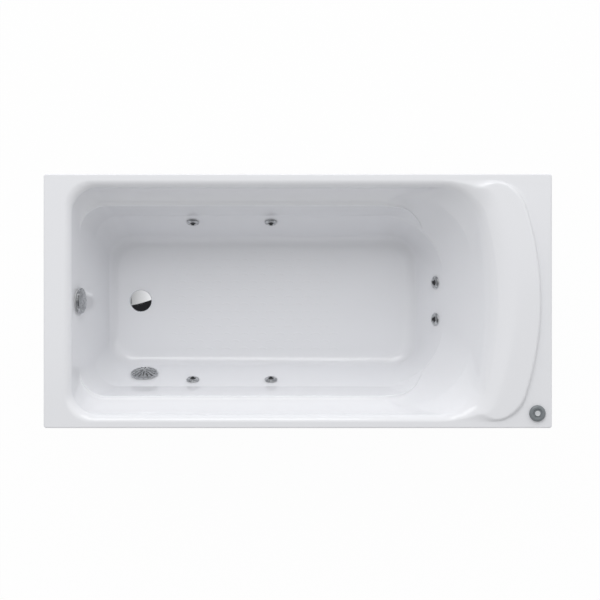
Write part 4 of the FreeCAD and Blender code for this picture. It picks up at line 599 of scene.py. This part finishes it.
acrylic, shader, place = finish("acrylic", Base_Color=(0.832, 0.84, 0.868), IOR=1.49)
TREAD_ROW, TREAD_LANE = 0.024, 0.058
row = place.part(1) / TREAD_ROW
lane = place.part(0) / TREAD_LANE + row.maths("FLOOR", row) * 0.5
off_middle = (lane.maths("FRACT", lane) - 0.5).size()
off_arc = (row.maths("FRACT", row) - 0.7 + off_middle * off_middle * 3.0).size()
in_field = (place.part(0) + 0.135).size().smooth(0.29, 0.26) * place.part(1).size().smooth(0.175, 0.155)
on_floor = place.part(2) < RIM - BASIN_DEPTH + 0.010
tread = off_arc.smooth(0.13, 0.05) * off_middle.smooth(0.27, 0.22) * in_field * on_floor
vary(shader, Roughness=0.085 + 0.05 * place.noise(6.0) + tread * 0.15,
     Normal=(place.noise(14.0, 1.0) * 0.0001 + tread * 0.00022).bump(1.0, 1.0))

laminate, shader, place = finish("laminate", IOR=1.5)
strands = place.scaled(60, 260, 60).noise(1.0, 3.0) * place.scaled(260, 60, 260).noise(1.0, 3.0)
vary(shader, Base_Color=(strands * 3.2 - 0.3).blend((0.60, 0.57, 0.47), (0.80, 0.78, 0.71)),
     Roughness=0.35 + strands * 0.8, Normal=strands.bump(0.6, 0.0015))

tub.data.materials.append(acrylic)
tub.data.materials.append(laminate)
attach(tub, "tub")
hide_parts("tub_shell")

# ---------------------------------------------------------------------------------------------------------
# What the shell stands on. A flooring-grade particle board is bonded under the floor, and a pine batten is
# bedded under each long deck.
board, shader, place = finish("particle_board", IOR=1.45)
chips = place.scaled(1, 1, 3).cells(260.0, out="Color")
fine = place.noise(420.0, 3.0)
vary(shader,
     Base_Color=(chips.part(0) * 0.7 + fine * 0.4 - 0.1).blend((0.36, 0.24, 0.13), (0.72, 0.57, 0.38)),
     Roughness=0.72 + fine * 0.2, Normal=chips.part(0).bump(0.25, 0.0006))
dress("base_board", board)

pine, shader, place = finish("pine", IOR=1.45)
rings_at = place.scaled(2, 45, 45).noise(1.6, 4.0) * 22 + place.part(2) * 90
grain = rings_at.maths("SINE", rings_at)
vary(shader, Base_Color=(grain * 0.5 + 0.5).blend((0.60, 0.42, 0.22), (0.78, 0.62, 0.40)),
     Roughness=0.55 + place.noise(60.0) * 0.2, Normal=grain.bump(0.12, 0.0005))
dress("rim_battens", pine)

# ---------------------------------------------------------------------------------------------------------
# The cradle. Square steel tube, dipped in zinc so that its crystals show, bolted together over five feet.
zinc, shader, place = finish("zinc_dipped_steel", Metallic=1.0)
crystals = place.cells(95.0, out="Color").part(0)
clouds = place.noise(9.0, 4.0)
vary(shader, Base_Color=(crystals * 0.55 + clouds * 0.45).blend((0.36, 0.38, 0.40), (0.66, 0.68, 0.70)),
     Roughness=0.34 + crystals * 0.22, Normal=place.noise(40.0).bump(0.05, 0.001))
dress("frame_rails frame_cross_foot frame_cross_middle frame_cross_head frame_uprights pump_bracket", zinc)

bright, shader, place = finish("bright_zinc", Metallic=1.0)
vary(shader, Base_Color=place.noise(120.0).blend((0.52, 0.53, 0.52), (0.74, 0.74, 0.70)),
     Roughness=0.24 + place.noise(300.0) * 0.2)
dress("frame_bolts foot_locknuts", bright)

nylon, shader, place = finish("black_nylon", IOR=1.5)
vary(shader, Base_Color=place.noise(80.0).blend((0.018, 0.018, 0.019), (0.035, 0.035, 0.037)),
     Roughness=0.5 + place.noise(500.0) * 0.15, Normal=place.noise(900.0).bump(0.12, 0.0004))
dress("levelling_foot_1 levelling_foot_2 levelling_foot_3 levelling_foot_4 levelling_foot_5", nylon)

# ---------------------------------------------------------------------------------------------------------
# Waste and overflow. Chromed brass shows in the basin; the bodies, pipe and trap behind are white moulded
# plastic, sealed to the shell with black rubber washers.
chrome, shader, place = finish("chrome", Metallic=1.0)
vary(shader, Base_Color=place.noise(30.0).blend((0.80, 0.81, 0.83), (0.88, 0.89, 0.91)),
     Roughness=0.03 + place.noise(200.0) * 0.04)
dress("waste_flange", chrome)

buffed, shader, place = finish("buffed_chrome", Metallic=1.0, Base_Color=(0.86, 0.87, 0.89))
FLATTER = 3.8                           # takes most of the cap's crown out of what it mirrors
from_middle = (place.part(0) - WASTE_X) ** 2.0 + place.part(1) ** 2.0
vary(shader, Roughness=0.025 + place.noise(200.0) * 0.03, Normal=(from_middle * FLATTER).bump(1.0, 1.0))
dress("drain_plug", buffed)

satin_metal, shader, place = finish("satin_metal", Metallic=1.0)
wear = place.noise(120.0, 3.0)
vary(shader, Base_Color=wear.smooth(0.35, 0.65).blend((0.42, 0.43, 0.44), (0.68, 0.69, 0.70)),
     Roughness=0.20 + wear * 0.25, Normal=place.noise(220.0).bump(0.15, 0.0006))
dress("overflow_knob", satin_metal)

moulded, shader, place = finish("white_mouldings", IOR=1.46)
vary(shader, Base_Color=place.noise(25.0).blend((0.74, 0.75, 0.75), (0.82, 0.83, 0.83)),
     Roughness=0.38 + place.noise(60.0) * 0.12, Normal=place.noise(700.0).bump(0.08, 0.0004))
dress("waste_body trap overflow_body overflow_pipe overflow_collar suction_fitting control_nut", moulded)

rubber, shader, place = finish("black_rubber", IOR=1.52)
vary(shader, Base_Color=place.noise(90.0).blend((0.014, 0.014, 0.014), (0.03, 0.03, 0.03)),
     Roughness=0.62 + place.noise(300.0) * 0.15, Normal=place.noise(1200.0).bump(0.15, 0.0003))
dress("waste_gasket overflow_gasket suction_gasket jet_gaskets", rubber)

# ---------------------------------------------------------------------------------------------------------
# The pump's intake: a chromed grille over a flange in the near wall, and the suction line to the pump.
dress("suction_cover", satin_metal)

pipework, shader, place = finish("white_pipe", IOR=1.5)
vary(shader, Base_Color=place.noise(12.0).blend((0.70, 0.71, 0.71), (0.79, 0.80, 0.80)),
     Roughness=0.28 + place.noise(40.0) * 0.12, Normal=place.noise(260.0).bump(0.06, 0.0005))
dress("suction_body suction_pipe water_manifold air_manifold jet_bodies", pipework)

# ---------------------------------------------------------------------------------------------------------
# The six jets: a chromed ring that turns round a dark swivelling ball, in a white fitting through the wall.
dress("jet_wall_fittings", moulded)
dress(" ".join("jet_ring_%d" % number for number in range(1, 7)), satin_metal)

ball, shader, place = finish("jet_ball", IOR=1.5)
vary(shader, Base_Color=place.noise(150.0).blend((0.035, 0.036, 0.038), (0.06, 0.062, 0.065)),
     Roughness=0.22 + place.noise(400.0) * 0.12)
dress(" ".join("jet_nozzle_%d" % number for number in range(1, 7)), ball)

# ---------------------------------------------------------------------------------------------------------
# The pump under the headrest: black glass-filled casing and fan cover, painted motor, ground steel shaft.
casing, shader, place = finish("glass_filled_black", IOR=1.52)
vary(shader, Base_Color=place.noise(50.0).blend((0.020, 0.021, 0.022), (0.045, 0.046, 0.048)),
     Roughness=0.42 + place.noise(250.0, 4.0) * 0.2, Normal=place.noise(800.0).bump(0.15, 0.0005))
dress("pump_volute pump_fan_cover pump_fan pump_impeller pump_union_nuts", casing)

paint, shader, place = finish("motor_paint", IOR=1.5, Coat_Weight=0.3, Coat_Roughness=0.2)
vary(shader, Base_Color=place.noise(14.0, 4.0).blend((0.20, 0.23, 0.26), (0.26, 0.29, 0.32)),
     Roughness=0.36 + place.noise(90.0) * 0.16, Normal=place.noise(500.0, 3.0).bump(0.2, 0.0006))
dress("pump_motor_casing", paint)

ground, shader, place = finish("ground_steel", Metallic=1.0)
vary(shader, Base_Color=place.scaled(1, 900, 1).noise(1.0).blend((0.48, 0.48, 0.49), (0.64, 0.64, 0.65)),
     Roughness=0.22 + place.scaled(1, 900, 1).noise(1.0) * 0.15)
dress("pump_shaft", ground)

# ---------------------------------------------------------------------------------------------------------
# The deck control: a satin grey ring that sets the air, round a pale air button, in a tube through the deck.
satin, shader, place = finish("satin_grey", IOR=1.5)
vary(shader, Base_Color=place.noise(60.0).blend((0.185, 0.205, 0.215), (0.235, 0.255, 0.27)),
     Roughness=0.26 + place.noise(300.0) * 0.1)
dress("control_ring control_housing", satin)

pale, shader, place = finish("pale_button", IOR=1.5)
vary(shader, Base_Color=place.noise(60.0).blend((0.58, 0.60, 0.62), (0.66, 0.68, 0.70)),
     Roughness=0.24 + place.noise(300.0) * 0.1)
dress("start_button", pale)

grey_box, shader, place = finish("grey_enclosure", IOR=1.5)
vary(shader, Base_Color=place.noise(20.0).blend((0.46, 0.47, 0.48), (0.54, 0.55, 0.56)),
     Roughness=0.44 + place.noise(90.0) * 0.12, Normal=place.noise(650.0).bump(0.18, 0.0005))
dress("control_box", grey_box)

# ---------------------------------------------------------------------------------------------------------
# The studio: a white floor that keeps the tub's soft shadow, an even sky, and one large lamp behind the far
# long side. The camera hangs four metres over the middle of the tub.
floor_mesh = bpy.data.meshes.new("floor")
floor_mesh.from_pydata([(-20, -20, 0), (20, -20, 0), (20, 20, 0), (-20, 20, 0)], [], [(0, 1, 2, 3)])
floor = bpy.data.objects.new("floor", floor_mesh)
bpy.context.scene.collection.objects.link(floor)
floor_paint, shader, place = finish("floor_paint", Base_Color=(0.86, 0.86, 0.86), Roughness=0.9, IOR=1.3)
seen = place.node("ShaderNodeLightPath")
rays = seen.socket.node.outputs
mirrored_ray = seen.maths("MAXIMUM", Wire(rays["Is Glossy Ray"]), Wire(rays["Is Transmission Ray"]))
direct = seen.maths("MAXIMUM", seen, mirrored_ray)
glow = place.node("ShaderNodeEmission", None, {"Color": (1.0, 1.0, 1.0), "Strength": 1.0})
mixed = place.node("ShaderNodeMixShader", None, {0: direct * 0.97, 1: Wire(shader.outputs[0]), 2: glow})
surface = floor_paint.node_tree.nodes["Material Output"].inputs["Surface"]
floor_paint.node_tree.links.new(mixed.socket, surface)
floor_mesh.materials.append(floor_paint)

sky = bpy.data.worlds.new("sky")
bpy.context.scene.world = sky
sky.use_nodes = True
base = Wire(sky.node_tree.nodes["Background"].outputs[0])
look = base.node("ShaderNodeTexCoord")
seen = base.node("ShaderNodeLightPath")
rays = seen.socket.node.outputs
direct = seen.maths("MAXIMUM", seen, Wire(rays["Is Transmission Ray"]))
white = base.node("ShaderNodeBackground", None, {"Color": (1.0, 1.0, 1.0), "Strength": 1.0})
sideways, lengthways, height = look.part(0), look.part(1), look.part(2)
ALL_ROUND, FROM_BACK = 0.52, 1.11
walls = lengthways.maths("MAXIMUM", lengthways, 0.0) * FROM_BACK + ALL_ROUND
DARK_EDGE, DARK_SLANT = -0.007, 0.27
behind = lengthways - sideways * DARK_SLANT < DARK_EDGE
bright_side = height.smooth(0.2, 1.0) * (0.82 + sideways * 1.2)
mirrored_sky = behind.blend(bright_side, (0.02, 0.02, 0.022))
feed(base.socket.node.inputs["Color"], Wire(rays["Is Glossy Ray"]).blend(walls, mirrored_sky))
feed(base.socket.node.inputs["Strength"], 1.0)
mixed = base.node("ShaderNodeMixShader", None, {0: direct, 1: base, 2: white})
sky.node_tree.links.new(mixed.socket, sky.node_tree.nodes["World Output"].inputs["Surface"])


def lamp(name, place, target, size, energy):
    light = bpy.data.lights.new(name, "AREA")
    light.energy, light.size = energy, size
    holder = bpy.data.objects.new(name, light)
    holder.location = place
    holder.rotation_euler = (Vector(target) - Vector(place)).to_track_quat("-Z", "Y").to_euler()
    bpy.context.scene.collection.objects.link(holder)


lamp("long_window", (-0.6, 3.0, 4.2), (0.0, 0.0, 0.3), 2.2, 44)

lens = bpy.data.cameras.new("overhead")
lens.sensor_width = 36.0
CAMERA_HEIGHT = 4.0                     # over the rim
WIDTH_SEEN = 1.7690                     # at the rim, across the picture
lens.angle = 2 * math.atan(WIDTH_SEEN / 2 / CAMERA_HEIGHT)
overhead = bpy.data.objects.new("overhead", lens)
overhead.location = (0.0065, 0.0029, RIM + CAMERA_HEIGHT)
bpy.context.scene.collection.objects.link(overhead)
bpy.context.scene.camera = overhead
bpy.context.scene.view_settings.view_transform = "Standard"

bpy.context.view_layer.update()
